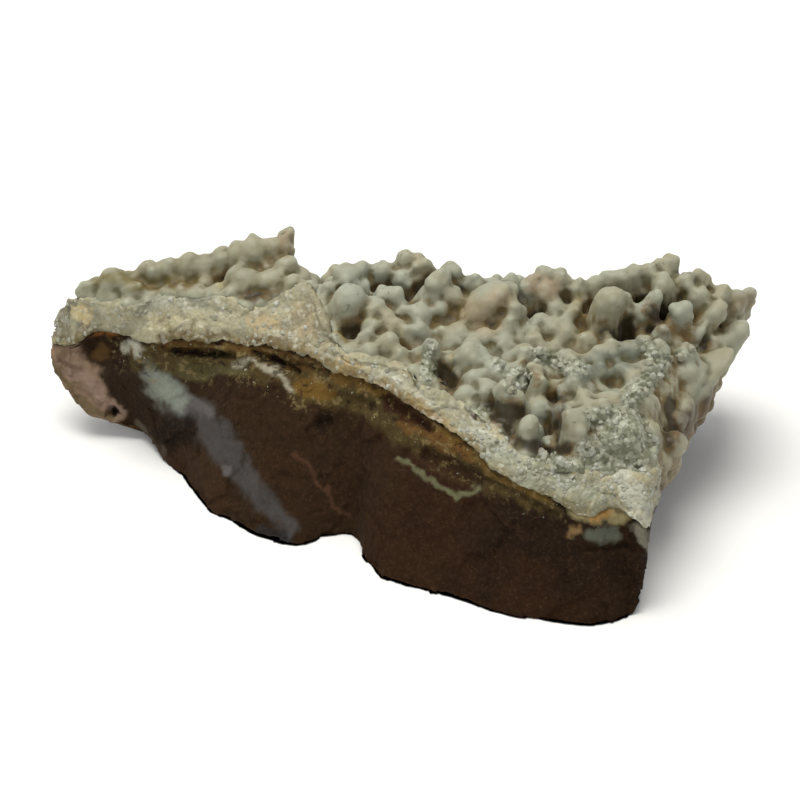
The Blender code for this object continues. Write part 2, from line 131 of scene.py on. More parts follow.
class Recipe:
    """One material: its Principled shader, and short ways to add the nodes that feed it."""

    def __init__(self, name, **constants):
        self.material = bpy.data.materials.new(name)
        self.material.use_nodes = True
        self.tree = self.material.node_tree
        self.shader = self.tree.nodes["Principled BSDF"]
        for socket, value in constants.items():
            self.shader.inputs[socket.replace("_", " ")].default_value = value
        self.place = self.add("ShaderNodeTexCoord").outputs["Object"]

    def add(self, kind, settings=None, values=None):
        """A node of this type, with its settings made first and then its sockets given or linked."""
        node = self.tree.nodes.new(kind)
        for name, value in (settings or {}).items():
            setattr(node, name, value)
        for socket, value in (values or {}).items():
            self.give(node.inputs[socket], value)
        return node

    def give(self, socket, value):
        source = value.socket if isinstance(value, Amount) else value
        if isinstance(source, bpy.types.NodeSocket):
            self.tree.links.new(source, socket)
        else:
            socket.default_value = source

    def number(self, kind, settings=None, values=None):
        return Amount(self, self.add(kind, settings, values).outputs[0])

    def noise(self, size, detail=3.0, roughness=0.55):
        """Soft noise around 0.5, with lumps of this many millimetres."""
        return self.number("ShaderNodeTexNoise", {}, {
            "Vector": self.place, "Scale": 1 / (size * MM), "Detail": detail, "Roughness": roughness})

    def cells(self, size):
        return self.add("ShaderNodeTexVoronoi", {}, {"Vector": self.place, "Scale": 1 / (size * MM)})

    def grains(self, size):
        """The distance to the middle of the nearest grain, with grains of this many millimetres."""
        return Amount(self, self.cells(size).outputs["Distance"])

    def grain_numbers(self, size):
        """A random number for each grain of this many millimetres."""
        return self.number("ShaderNodeSeparateColor", {}, {0: self.cells(size).outputs["Color"]})

    def painted(self, name, output="Color"):
        """A value or colour that is stored on the mesh itself."""
        return self.add("ShaderNodeAttribute", {"attribute_name": name}).outputs[output]

    def mask(self, name):
        return Amount(self, self.painted(name, "Fac"))

    def mix(self, share, first, second):
        """The first colour, and the second one over it where the share is 1."""
        node = self.add("ShaderNodeMix", {"data_type": "RGBA", "clamp_factor": True},
                        {0: share, 6: first, 7: second})
        return node.outputs[2]

    def bumps(self, height, distance, strength):
        """A Bump node: height 1 stands this many millimetres above height 0."""
        values = {"Height": height, "Distance": distance * MM, "Strength": strength}
        return self.add("ShaderNodeBump", {}, values).outputs["Normal"]

    def finish(self, **sockets):
        for socket, value in sockets.items():
            self.give(self.shader.inputs[socket.replace("_", " ")], value)
        return self.material


def paint(red, green, blue):
    """A colour as it is seen, 0 to 255, made linear for the shader."""
    seen = np.array((red, green, blue)) / 255
    return (*np.where(seen > 0.04045, ((seen + 0.055) / 1.055) ** 2.4, seen / 12.92), 1.0)


# %% [markdown]
# ## The studio
# The floor isn't part of the object, so it is only a large pale sheet. The main lamp is big and hangs above
# and in front, because a small one would give glittering, hard-edged stone.

# %% Floor and lamps
def flat_sheet(name, half, height):
    mesh = bpy.data.meshes.new(name)
    corners = np.array(((-1, -1), (1, -1), (1, 1), (-1, 1))) * half
    mesh.from_pydata([(x, y, height) for x, y in corners], [], [(0, 1, 2, 3)])
    sheet = bpy.data.objects.new(name, mesh)
    bpy.context.scene.collection.objects.link(sheet)
    return sheet


def soft_lamp(name, place, size, watts, colour=(1, 1, 1)):
    """A square area lamp at the place, turned towards the stone."""
    lamp = bpy.data.objects.new(name, bpy.data.lights.new(name, "AREA"))
    lamp.data.size, lamp.data.energy, lamp.data.color = size, watts, colour
    lamp.location = place
    aim = Vector((0, 0.01, 0.02)) - Vector(place)
    lamp.rotation_mode = "QUATERNION"
    lamp.rotation_quaternion = aim.to_track_quat("-Z", "Y")
    bpy.context.scene.collection.objects.link(lamp)


pale_floor = Recipe("pale floor", Roughness=0.9)
floor = flat_sheet("floor", 4.0, -0.0002)
floor.data.materials.append(pale_floor.finish(Base_Color=paint(236, 235, 232)))
soft_lamp("high lamp", (-0.12, 0.02, 0.8), 0.6, 7.4, (1.0, 0.99, 0.95))
soft_lamp("front lamp", (0.3, -0.8, 0.5), 0.5, 1.2)
soft_lamp("back lamp", (-0.5, 0.6, 0.5), 0.5, 1.2)
world = bpy.data.worlds.new("soft surroundings")
world.use_nodes = True
world.node_tree.nodes["Background"].inputs["Color"].default_value = (0.95, 0.97, 1.0, 1)
world.node_tree.nodes["Background"].inputs["Strength"].default_value = 0.40
bpy.context.scene.world = world
bpy.context.scene.view_settings.view_transform = "Standard"

# %% [markdown]
# ## Noise for shapes
# Broken stone has no plain surface. Two kinds of noise shape it, both worked out for all points at once:
# soft clouds for weathered lumps, and shards, where each cell is a small tilted plane of its own,
# for a break that runs along grains.

# %% Clouds and shards
def scattered(counts, seed):
    """A number from 0 to 1 for each whole-number place: its three counts are mixed as bits."""
    mixed = counts[..., 0] * 73856093 ^ counts[..., 1] * 19349663 ^ counts[..., 2] * 83492791
    mixed = (mixed ^ seed * 40503001) & 0xFFFFFFFF
    mixed = (mixed ^ mixed >> 15) * 2246822519 & 0xFFFFFFFF
    mixed = (mixed ^ mixed >> 13) * 3266489917 & 0xFFFFFFFF
    return (mixed ^ mixed >> 16) / 0xFFFFFFFF


def clouds(points, size, seed, octaves=3):
    """Soft noise from -1 to 1: random corner values of a grid, blended smoothly, in halving sizes."""
    total, weight = np.zeros(len(points)), 1.0
    for octave in range(octaves):
        place = points / (size * 0.5 ** octave) + 31.7 * seed
        corner = np.floor(place).astype(np.int64)
        part = place - corner
        part = part * part * (3 - 2 * part)
        for step in np.ndindex(2, 2, 2):
            near = np.where(step, part, 1 - part).prod(1)
            total += weight * near * (2 * scattered(corner + step, seed + octave) - 1)
        weight *= 0.5
    return total / (2 - 2 * weight)


def nearest_seeds(points, size, seed):
    """One seed is scattered in each cell: the offset from the nearest one, in cells, and its cell."""
    place = points / size
    corner = np.floor(place).astype(np.int64)
    nearest, offset, home = np.full(len(points), 9.0), place * 0, corner * 0
    for step in np.ndindex(3, 3, 3):
        cell = corner + step - 1
        here = place - cell - np.stack([scattered(cell, seed + k) for k in range(3)], 1)
        distance = (here ** 2).sum(1)
        closer = (distance < nearest)[:, None]
        offset, home = np.where(closer, here, offset), np.where(closer, cell, home)
        nearest = np.minimum(nearest, distance)
    return offset, home


def shards(points, size, seed):
    """Tilted facets from -1 to 1: the height of each seed's own plane, where that seed is nearest."""
    offset, home = nearest_seeds(points, size, seed)
    tilt = np.stack([scattered(home, seed + k) for k in (3, 4, 5)], 1) - 0.5
    return 2.1 * (offset * tilt).sum(1) + 1.3 * (scattered(home, seed + 6) - 0.5)


def bubbles(points, size, seed):
    """Round bumps: 1 over each seed, falling with the square of the distance, 0 in the creases."""
    offset, _ = nearest_seeds(points, size, seed)
    return np.clip(1 - 1.6 * (offset ** 2).sum(1), 0, 1)


# %% [markdown]
# ## From arrays to a piece
# Blender meshes are filled fastest with foreach_set, which takes whole arrays. All points are kept in
# millimetres until this last moment. Strokes put marks and dents where they are on the stone: each is a
# line of places as they look from the view, with a half-width at each, like the stroke of a brush.

# %% Meshes and strokes
def mesh_of(name, points, faces):
    """A mesh from an array of points in millimetres and an array of faces with equal corners."""
    mesh = bpy.data.meshes.new(name)
    mesh.vertices.add(len(points))
    mesh.vertices.foreach_set("co", (points * MM).astype(np.float32).ravel())
    mesh.loops.add(faces.size)
    mesh.loops.foreach_set("vertex_index", faces.astype(np.int32).ravel())
    mesh.polygons.add(len(faces))
    mesh.polygons.foreach_set("loop_start", np.arange(0, faces.size, faces.shape[1], dtype=np.int32))
    mesh.update(calc_edges=True)
    mesh.validate()
    return mesh


def read(items, name, width, kind=np.float32):
    """This property of all items as an array with one row for each."""
    values = np.empty(len(items) * width, kind)
    items.foreach_get(name, values)
    return values.reshape(-1, width)


def points_of(mesh):
    return read(mesh.vertices, "co", 3).astype(float) / MM


def normals_of(mesh):
    return read(mesh.vertex_normals, "vector", 3).astype(float)


def move_points(mesh, points):
    mesh.vertices.foreach_set("co", (points * MM).astype(np.float32).ravel())
    mesh.update()


def store(mesh, name, values):
    """Keeps one number, or one colour, for every point of the mesh."""
    if values.ndim == 1:
        mesh.attributes.new(name, "FLOAT", "POINT").data.foreach_set("value", values.astype(np.float32))
    else:
        mesh.attributes.new(name, "FLOAT_COLOR", "POINT").data.foreach_set(
            "color", values.astype(np.float32).ravel())


def stroke(looks, line, softness):
    """1 on the stroke and 0 off it: how far each place is from the line, against its half-width there."""
    line = np.array(line, float).reshape(-1, 3)
    cover = np.full(len(looks), -9.0)
    for start, end in zip(line, line[1:] if len(line) > 1 else line):
        along = end[:2] - start[:2]
        share = np.clip((looks - start[:2]) @ along / max(along @ along, 1e-9), 0, 1)
        away = np.linalg.norm(looks - start[:2] - share[:, None] * along, axis=1)
        cover = np.maximum(cover, start[2] + (end[2] - start[2]) * share - away)
    share = np.clip(cover / softness + 0.5, 0, 1)
    return share * share * (3 - 2 * share)


def wandering(points, size, reach, seed):
    """Places as they look, pushed about by noise, so that a stroke gets the frayed edge of a real mark."""
    broad = np.stack((clouds(points, size, seed, 4), clouds(points, size, seed + 9, 4)), 1)
    return looks_at(points) + 1.7 * reach * broad


def blended(colour, tone, share):
    """The colours with this tone laid over them: all of it where the share is 1."""
    return colour * (1 - share[:, None]) + np.array(paint(*tone)) * share[:, None]


def painted_over(colour, looks, marks, shown):
    """The colours with each mark laid over the last: (line, softness, tone, strength)."""
    for line, softness, tone, strength in marks:
        colour = blended(colour, tone, np.clip(stroke(looks, line, softness) * strength * shown, 0, 1))
    return colour


def make_piece(mesh, material, node):
    """An object for the mesh that rides on the stone and stands for its CAD solid."""
    piece = bpy.data.objects.new(mesh.name, mesh)
    mesh.materials.append(material)
    mesh.shade_smooth()
    bpy.context.scene.collection.objects.link(piece)
    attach(piece, "root")
    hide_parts(node)
    print(mesh.name, sum(len(p.vertices) - 2 for p in mesh.polygons), "triangles")


# %% [markdown]
# ## The outline of the stone
# Three rings run round the stone: the foot of the rock, the rim where the crust begins, and the crest of
# the crust's broken edge. They are the stations that the solid is made from, save that the rim and the
# foot sit a little lower at the left tip, on a smooth closed curve with many more steps between them.

# %% Rings
FRONT = (
    ((-60.3, 29.2, 14.6), (-60.9, 30.8, 16.2), (-60.0, 35.0, 20)),
    ((-59.2, 25.0, 11), (-57.8, 30.0, 17.4), (-58.0, 38.2, 25)),
    ((-55.5, 20.2, 7), (-53.5, 32.5, 20.5), (-52.5, 38.0, 27)),
    ((-51.0, 18.2, 5), (-49.0, 32.0, 21), (-47.0, 37.0, 28)),
    ((-46.5, 17.2, 4), (-44.5, 30.5, 22.5), (-43.0, 38.3, 29)),
    ((-42.0, 12.0, 2), (-39.5, 31.0, 24), (-38.5, 38.6, 30)),
    ((-38.5, 7.5, 0), (-34.0, 31.0, 25), (-34.0, 38.6, 31)),
    ((-34.0, 2.0, 0), (-29.0, 30.5, 26), (-30.3, 38.8, 32)),
    ((-30.0, 0.0, 0), (-25.0, 30.0, 27), (-26.5, 36.2, 31)),
    ((-26.0, -2.7, 0), (-21.0, 29.5, 27.5), (-21.0, 38.7, 33)),
    ((-19.0, -4.2, 0), (-16.5, 28.0, 27.5), (-16.4, 40.0, 35)),
    ((-14.0, -3.0, 0), (-12.5, 26.0, 27), (-12.8, 32.0, 31)),
    ((-9.0, -2.7, 0), (-8.5, 24.5, 26.5), (-8.3, 28.0, 30)),
    ((-6.5, -7.0, 0), (-5.0, 23.3, 26.3), (-4.0, 27.5, 29.5)),
    ((-3.5, -10.0, 0), (-1.5, 21.5, 25.7), (0.5, 26.0, 29)),
    ((2.0, -11.8, 0), (2.0, 19.0, 25), (3.8, 22.3, 28)),
    ((8.0, -13.2, 0), (6.0, 16.3, 24), (8.5, 21.0, 27)),
    ((15.0, -15.5, 0), (11.0, 13.0, 23), (14.5, 16.5, 25.5)),
    ((22.0, -17.0, 0), (17.0, 8.0, 21.5), (19.0, 12.0, 24)),
    ((29.0, -18.2, 0), (24.0, 4.3, 19.5), (25.0, 9.0, 22.5)),
    ((35.0, -18.0, 0), (30.5, 1.0, 18), (30.5, 8.0, 22)),
    ((38.5, -16.3, 0.5), (36.0, 2.5, 17.5), (36.5, 8.0, 21.5)),
    ((41.0, -11.5, 4), (41.5, -1.0, 15), (42.0, 8.0, 21)),
)
SIDES = (
    ((38.5, -14, 0), (42.2, -11.5, 11.5), (43.8, -8, 20)),
    ((40, 0, 0), (46.2, 1, 11.5), (47.0, 1, 21)),
    ((41, 10, 0), (50, 9.5, 12), (50.8, 9, 22)),
    ((42, 20, 0), (53.5, 18, 13), (53.8, 17, 22.5)),
    ((42, 29, 0), (56.8, 28, 15), (56.8, 26, 23.5)),
    ((40, 34, 1), (59.5, 35, 18), (59.3, 32, 25)),
    ((34, 36, 2), (54, 39, 18), (52.5, 36, 23.5)),
    ((24, 36, 0), (42, 41, 18.5), (41, 38.5, 24)),
    ((12, 34, 0), (28, 38.5, 19), (28, 36, 24)),
    ((2, 36, 0), (14, 39.5, 21), (14, 37, 25)),
    ((-8, 36, 0), (0, 37, 21), (0, 34.5, 25)),
    ((-18, 38, 0), (-13, 39, 22.5), (-13, 36.5, 26)),
    ((-27, 38, 0), (-26, 40.5, 23), (-25, 38, 27.5)),
    ((-35, 38, 1), (-37, 40.5, 22.5), (-36, 38.5, 26.5)),
    ((-42, 37, 3), (-47, 42, 20.5), (-46, 39.5, 25)),
    ((-48, 36, 8), (-55, 40, 19), (-54, 38.5, 24)),
    ((-53, 35, 12), (-59.5, 37, 17.5), (-58.5, 36, 22)),
)
MIDDLE = np.array((-8.0, 22.0))
FRONT_STEPS, SIDE_STEPS = 22, 12


def closed_curve(stations, steps):
    """A smooth closed curve through the stations: each piece is a cubic of the four nearest ones."""
    start = np.repeat(np.arange(len(stations)), steps)
    t = np.concatenate([np.arange(count) / count for count in steps])[:, None]
    before, p, after, beyond = (np.roll(stations, shift, 0)[start] for shift in (1, 0, -1, -2))
    return 0.5 * (2 * p + (after - before) * t + (2 * before - 5 * p + 4 * after - beyond) * t ** 2
                  + (3 * p - before - 3 * after + beyond) * t ** 3)


def ring(level):
    """The ring round the stone at one level, 0 foot, 1 rim, 2 crest, with finer steps on the front."""
    front = seen_at(*np.array([station[level] for station in FRONT]).T)
    steps = [FRONT_STEPS] * len(FRONT) + [SIDE_STEPS] * len(SIDES)
    return closed_curve(np.concatenate((front, [station[level] for station in SIDES])), steps)


def drawn_in(line, share, height=None):
    """The ring shrunk towards the middle of the plan, its heights moved towards a height."""
    out = line.copy()
    out[:, :2] = MIDDLE + (line[:, :2] - MIDDLE) * share
    if height is not None:
        out[:, 2] = height + (line[:, 2] - height) * share
    return out


def towards_spine(places):
    """The direction in plan from each place to the spine, a bent line along the stone's length."""
    across = np.clip(places[:, 0], -48, 36)
    inward = np.stack((across, np.interp(across, (-48, -8, 36), (35.5, 29, 14))), 1) - places[:, :2]
    return inward / np.linalg.norm(inward, axis=1)[:, None]


def moved_in(line, distance):
    """The ring with every point moved this far towards the spine."""
    out = line.copy()
    out[:, :2] += towards_spine(line) * distance
    return out


def between_rings(rings, rows):
    """A grid of points: straight lines from ring to ring, cut into this many rows between each pair."""
    parts = [lower + (upper - lower) * (np.arange(count) / count)[:, None, None]
             for lower, upper, count in zip(rings, rings[1:], rows)]
    return np.concatenate((*parts, rings[-1][None]))


def closed_grid(grid):
    """Points and quads of a grid that closes round on itself, with a point that fills each end."""
    rows, columns = grid.shape[:2]
    index = np.arange(rows * columns).reshape(rows, columns)
    right = np.roll(index, -1, 1)
    quads = np.stack((index[:-1], right[:-1], right[1:], index[1:]), -1).reshape(-1, 4)
    hubs = np.stack((grid[0].mean(0), grid[-1].mean(0)))
    low, high = rows * columns, rows * columns + 1
    pairs = np.arange(0, columns, 2)
    ends = [np.stack((np.full(len(pairs), hub), line[pairs], line[(pairs + 1) % columns],
                      line[(pairs + 2) % columns]), 1)[:, ::turn]
            for hub, line, turn in ((low, index[0], -1), (high, index[-1], 1))]
    return np.concatenate((grid.reshape(-1, 3), hubs)), np.concatenate((quads, *ends))


print("round the rim:", round(np.linalg.norm(np.diff(ring(1), axis=0), axis=1).sum()), "mm")

# %% [markdown]
# ## The host rock
# A loose block of fine-grained brown rock. Its front is a fresh, rather flat break, its seam under the
# crust is cracked, rusty and full of small hollows. One grid carries it all: round the stone by foot to
# rim, roughened along its normals, with dents cut in where strokes say so, and cut flat at the base.

# %% Shape of the rock
BASE_DROP = 1.5
BED_HEIGHT, BED_SHARE, BED_INSET = 21.0, 0.45, 5.0
# Dents: a stroke of (across, up, half-width), and the depth in millimetres.
DENTS = (
    (((-52.1, 30.0, 2.5),), 1.2),
    (((-50.6, 18.6, 0.9),), 1.4),
    (((-40, 28.9, 0.5), (-34, 28.6, 0.8), (-30, 28.2, 0.5)), 2.2),
    (((-26.4, 28.9, 0.4), (-22.6, 27.6, 0.7), (-18.8, 25.6, 0.5)), 2.2),
    (((-21, 28.2, 0.4), (-15, 26.0, 0.4)), 1.0),
    (((-3, 20.6, 1.1), (4, 15.8, 1.0)), 1.4),
    (((4, 10.8, 1.6), (12, 7.0, 1.4)), 0.9),
    (((-14, 17.0, 1.5),), 1.0),
    (((-36, 26.0, 1.2), (-28, 26.6, 1.0)), 0.7),
    (((-12, 21.0, 1.0), (-6, 19.6, 1.0)), 0.7),
    (((14, 7.0, 0.5), (20, 4.0, 0.5), (26, 0.8, 0.5)), 0.8),
    (((31, -5.2, 0.4), (38, -4.6, 0.4)), 0.6),
)
foot, rim, crest = (ring(level) for level in range(3))
sunk = foot - (0, 0, BASE_DROP)
base = drawn_in(sunk, 0.6)
base[:, 2] = -BASE_DROP
rock_rings = (base, sunk, rim, moved_in(rim, 1.0) + (0, 0, 0.5), moved_in(rim, BED_INSET) - (0, 0, 1.0),
              drawn_in(rim, BED_SHARE, BED_HEIGHT))
ROCK_ROWS = (12, 84, 2, 6, 5)
ROCK_RIM_ROW = sum(ROCK_ROWS[:2])
rock_grid = between_rings(rock_rings, ROCK_ROWS)
rock_points, rock_faces = closed_grid(rock_grid)
rock_mesh = mesh_of("rock", rock_points, rock_faces)
outward = normals_of(rock_mesh)
roughness = (0.75 * clouds(rock_points, 9.0, 3) + 0.42 * shards(rock_points, 6.5, 5)
             + 0.16 * shards(rock_points, 1.7, 6) + 0.10 * clouds(rock_points, 0.9, 8, 2))
above_rim = np.arange(len(rock_points)) // len(rim) - ROCK_RIM_ROW
in_seam = above_rim < 4
roughness *= np.clip((1 - above_rim) / 6, 0.12, 1)
rock_points = rock_points + outward * roughness[:, None]
rock_looks = looks_at(rock_points)
faces_view = np.clip(0.3 - outward[:, 1] * 3, 0, 1)
under_lip = np.clip((above_rim + 6) / 5, 0, 1) * in_seam
rock_points -= outward * (under_lip * (0.4 + 0.3 * clouds(rock_points, 5, 9)))[:, None]
left_end = np.clip((-56 - rock_points[:, 0]) / 4, 0, 1) * np.clip((above_rim + 36) / 30, 0, 1) * in_seam
rock_points -= outward * (0.7 * left_end)[:, None]
below_seam = np.clip((2 - above_rim) / 8, 0, 1)
for line, depth in DENTS:
    rock_points -= outward * (stroke(rock_looks, line, 1.0) * depth * faces_view * below_seam)[:, None]
rock_points[:, 2] = np.maximum(rock_points[:, 2], 0)
move_points(rock_mesh, rock_points)
print("rock:", len(rock_faces), "faces")

# %% [markdown]
# The rock's colours follow its making: dark umber where it is fresh, redder where iron has gone in, a
# lilac-grey vein of chalcedony across it, and ochre, olive and white along the seam. Light and shade are
# painted in as well: near-black shade in the cracks, pits and small hollows of the seam, and a highlight on
# the vein. The places of the marks are strokes laid over each other on the mesh, and the shader adds the
# grain that is too fine for the mesh.

# %% Colours of the rock
UMBER, DEEP, RED_BROWN = (44, 30, 15), (23, 14, 6), (42, 24, 9)
# The pale vein colour serves both as a painted highlight on the vein and as a pale patch of it.
LILAC, VEIN, PALE_VEIN_AND_HIGHLIGHT = (136, 114, 94), (68, 66, 64), (96, 92, 90)
OLIVE, OCHRE, RUST, ORANGE = (74, 62, 34), (112, 84, 34), (88, 66, 32), (166, 118, 56)
BLUISH, GREENISH = (134, 140, 128), (104, 104, 76)
# The crack colour is near-black painted shade, laid into the dented cracks and pits below.
CRACK_SHADE, SLATE = (18, 12, 7), (92, 96, 84)
MARKS = (
    (((-60, 27, 5.0), (-55, 22, 4.6), (-51, 18, 2.5)), 1.6, LILAC, 0.95),
    (((-57, 26.5, 1.2), (-53, 22.5, 1.4), (-50, 19, 1.2)), 1.6, (140, 118, 104), 0.8),
    (((-61, 27, 0.8), (-56, 20, 0.8), (-51, 17.6, 0.7)), 1.0, (98, 84, 58), 0.8),
    (((-60, 28.5, 0.5), (-55, 25.6, 0.5)), 0.9, (96, 76, 62), 0.7),
    (((-57, 23.6, 0.5), (-53, 20.2, 0.5)), 0.9, (100, 82, 64), 0.6),
    (((-50.5, 26, 2.2), (-46, 21, 2.4), (-41, 12, 2.2)), 1.6, (38, 27, 18), 0.9),
    (((-46.5, 17, 0.5), (-40, 9, 0.5)), 0.7, (92, 84, 70), 0.7),
    (((-38, 8, 5.0), (-33, 3, 3.0)), 3.0, (50, 33, 18), 0.8),
    (((-38.5, 19, 2.6), (-35, 17.5, 3.0), (-32, 13.5, 2.7), (-29, 9, 2.2), (-26, 5, 1.9), (-23, 2, 1.6),
      (-20, -1.5, 1.2)), 2.0, VEIN, 0.95),
    # Painted highlight on the upper left of the vein.
    (((-38, 20, 1.2), (-34, 18.5, 1.0)), 1.2, PALE_VEIN_AND_HIGHLIGHT, 0.7),
    # A pale patch of the vein itself.
    (((-31, 8, 0.9),), 1.0, PALE_VEIN_AND_HIGHLIGHT, 0.8),
    (((-39.5, 15.2, 3.2),), 1.4, DEEP, 0.9),
    (((-21, -3, 1.4), (-25, -2, 0.8)), 1.0, (40, 40, 40), 0.9),
    (((-19, 12, 0.3), (-14, 6, 0.4), (-10, 1, 0.3)), 0.6, (84, 58, 42), 0.7),
    (((-46, 28, 2.0), (-40, 27, 2.6), (-30, 27.5, 2.4), (-22, 26, 2.6), (-16, 23, 3.0), (-10, 21.5, 2.6),
      (-4, 19, 3.0), (2, 14.5, 3.0), (8, 10.5, 3.0), (14, 7.5, 2.4), (20, 4.5, 1.8), (26, 1.5, 1.2)),
     1.4, OLIVE, 0.9),
    (((-38, 25.6, 1.2), (-28, 26.2, 1.0)), 1.0, (82, 76, 48), 0.8),
    (((-42, 30.0, 0.9), (-38, 30.6, 1.1), (-34, 30.4, 1.3)), 1.0, RUST, 0.95),
    (((-30.5, 30.2, 1.1), (-26, 29.6, 1.2), (-21, 28.2, 1.2), (-15, 26.6, 1.4)), 1.0, RUST, 0.95),
    (((-12, 25, 0.8), (-5, 22.4, 0.8), (2, 18.0, 0.7), (9, 13.4, 0.7), (16, 7.6, 0.6), (25, 3, 0.6)),
     1.0, (112, 86, 38), 0.7),
    (((-17, 23, 1.7), (-13, 22, 1.2)), 1.4, OCHRE, 0.8),
    (((0, 16.8, 1.2), (5, 14.0, 1.3), (10, 11.5, 1.0)), 1.2, (104, 72, 34), 0.7),
    (((-3, 20.6, 1.2), (4, 15.8, 1.1)), 0.8, (46, 24, 12), 0.95),
    (((4, 10.8, 1.7), (12, 7.0, 1.5)), 1.0, (48, 30, 16), 0.85),
    (((-1, 10, 0.45), (3, 7.6, 0.5), (6, 5.6, 0.5), (9, 4.2, 0.5), (13, 5.4, 0.4)), 0.6, GREENISH, 0.9),
    # Painted shade in a dented pit.
    (((-14, 17, 1.6),), 1.2, CRACK_SHADE, 0.8),
    (((-29, 27.2, 0.3), (-25, 26.9, 0.5), (-21.6, 25.0, 0.7), (-19.0, 22.0, 0.4)), 0.7, (168, 162, 140), 0.9),
    (((-44.2, 25.2, 1.2), (-41.8, 22.8, 2.2), (-39.5, 21.0, 2.0)), 2.6, BLUISH, 0.95),
    (((-47.0, 30.2, 1.3), (-46.0, 28.8, 1.3)), 1.2, (172, 170, 152), 0.95),
    # Painted shade in the dented cracks under the seam.
    (((-40, 29.0, 0.3), (-34, 28.7, 0.4), (-30, 28.3, 0.3)), 0.5, CRACK_SHADE, 1.0),
    (((-26.4, 28.9, 0.3), (-22.6, 27.6, 0.6), (-18.8, 25.6, 0.4)), 0.5, CRACK_SHADE, 1.0),
    (((-21, 28.2, 0.25), (-15, 26.0, 0.3)), 0.5, CRACK_SHADE, 1.0),
    (((-52, 29.7, 2.6),), 1.0, (44, 30, 17), 0.95),
    (((-52, 29.0, 1.2),), 1.0, (92, 68, 36), 0.8),
    (((-54, 32.2, 0.4), (-52, 32.8, 0.5), (-50.4, 31.8, 0.4)), 0.6, (120, 78, 40), 0.9),
    # Painted shade in a dented pit.
    (((-50.6, 18.6, 0.8),), 0.6, CRACK_SHADE, 1.0),
    (((30, 1.5, 1.6), (32, 2.5, 2.6), (36.5, 1.5, 2.6)), 1.4, (150, 138, 98), 0.9),
    (((32.0, 0.8, 0.8), (35.0, 1.0, 1.0)), 1.2, ORANGE, 0.75),
    (((31.5, -2.6, 1.2), (36, -2.6, 1.2)), 1.0, SLATE, 0.85),
    (((29, -2, 0.9),), 0.8, (138, 112, 74), 0.8),
    (((40.5, -1.6, 1.3), (42, -4, 0.9)), 1.0, (128, 124, 108), 0.8),
)
# The cracked and crusted seam under the broken edge, with its half-width.
SEAM = ((-49, 29, 2.5), (-42, 27.5, 4.0), (-34, 27.5, 3.6), (-26, 27, 3.6), (-18, 24, 4.4), (-10, 22, 3.6),
        (-2, 19, 3.6), (6, 13, 3.6), (12, 9, 3.0), (20, 4.5, 2.4), (28, 0.8, 1.8), (34, 0.4, 1.6))
reddish = np.clip(0.5 + 1.3 * clouds(rock_points, 16, 21) + rock_looks[:, 0] / 90, 0, 1)
gloom = np.clip(0.15 - 1.4 * clouds(rock_points, 7, 23) + (rock_looks[:, 0] - 22) / 40, 0, 0.75)
rock_colour = blended(blended(np.array(paint(*UMBER)), RED_BROWN, reddish), DEEP, gloom)
frayed = wandering(rock_points, 2.2, 1.0, 31)
rock_colour = painted_over(rock_colour, frayed, MARKS, faces_view)
behind = np.clip(outward[:, 1] * 2 + 0.2, 0, 1) * np.clip(0.4 + 1.5 * clouds(rock_points, 8, 41), 0, 1)
store(rock_mesh, "tone", blended(rock_colour, (92, 68, 42), behind))
store(rock_mesh, "seam", stroke(frayed, SEAM, 3.0) * faces_view)

host_rock = Recipe("fine brown host rock", Specular_IOR_Level=0.14)
tone = host_rock.painted("tone")
seam = host_rock.mask("seam")
fine = host_rock.noise(0.7, 4, 0.65)
worn = host_rock.noise(4.0, 5, 0.6)
crusted = host_rock.noise(1.8, 6, 0.72)
tone = host_rock.mix(fine.between(0.40, 0.75) * 0.20, tone, paint(84, 58, 32))
tone = host_rock.mix(worn.between(0.5, 0.75) * 0.35, tone, paint(26, 17, 9))
tone = host_rock.mix(host_rock.noise(0.35, 2).between(0.62, 0.72) * 0.10, tone, paint(120, 92, 58))
tone = host_rock.mix(seam * crusted.between(0.54, 0.62) * 0.65, tone, paint(128, 112, 74))
# Painted shade: the seam is made darker than the rock in the small hollows between its crusts, where the bump
# is low.
tone = host_rock.mix(seam * (1 - crusted).between(0.56, 0.64) * 0.75, tone, paint(34, 22, 11))
flecks = seam * host_rock.noise(1.0, 3, 0.6).between(0.67, 0.72)
tone = host_rock.mix(flecks * 0.85, tone, paint(182, 180, 158))
height = fine * 0.6 + host_rock.noise(0.22, 3, 0.7) * 0.25 + worn * 0.8 + seam * crusted * 2.0 + flecks * 0.8
rock_finish = host_rock.finish(
    Base_Color=tone, Roughness=0.92 - 0.3 * fine.between(0.5, 0.8) - 0.4 * flecks,
    Normal=host_rock.bumps(height, 0.35, 0.8))
make_piece(rock_mesh, rock_finish, "matrix")

# %% [markdown]
# ## The crust's broken edge
# The crust is a slab of quartz and chalcedony, 4 to 10 mm thick, and its broken edge looks like lump
# sugar. The grid is the same kind as the rock's: from under the rim up to the crest and back over the
# field that the fingers stand on. Small shards with sharp steps give the sugary break.

# %% Shape of the broken edge
FIELD_INSET, FIELD_RISE = 6.0, 2.5
FIELD_HEIGHT = 24.5
slab_rings = (drawn_in(rim, BED_SHARE, BED_HEIGHT) + (0, 0, 0.4), moved_in(rim, BED_INSET) - (0, 0, 0.9),
              moved_in(rim, 2.0) + (0, 0, 0.1), rim + (0, 0, 0.3), crest, moved_in(crest, 1.2),
              moved_in(rim, FIELD_INSET) + (0, 0, FIELD_RISE),
              drawn_in(rim + (0, 0, FIELD_RISE), BED_SHARE, FIELD_HEIGHT))
SLAB_ROWS = (3, 5, 4, 30, 3, 14, 12)
RIM_ROW, CREST_ROW = sum(SLAB_ROWS[:3]), sum(SLAB_ROWS[:4])
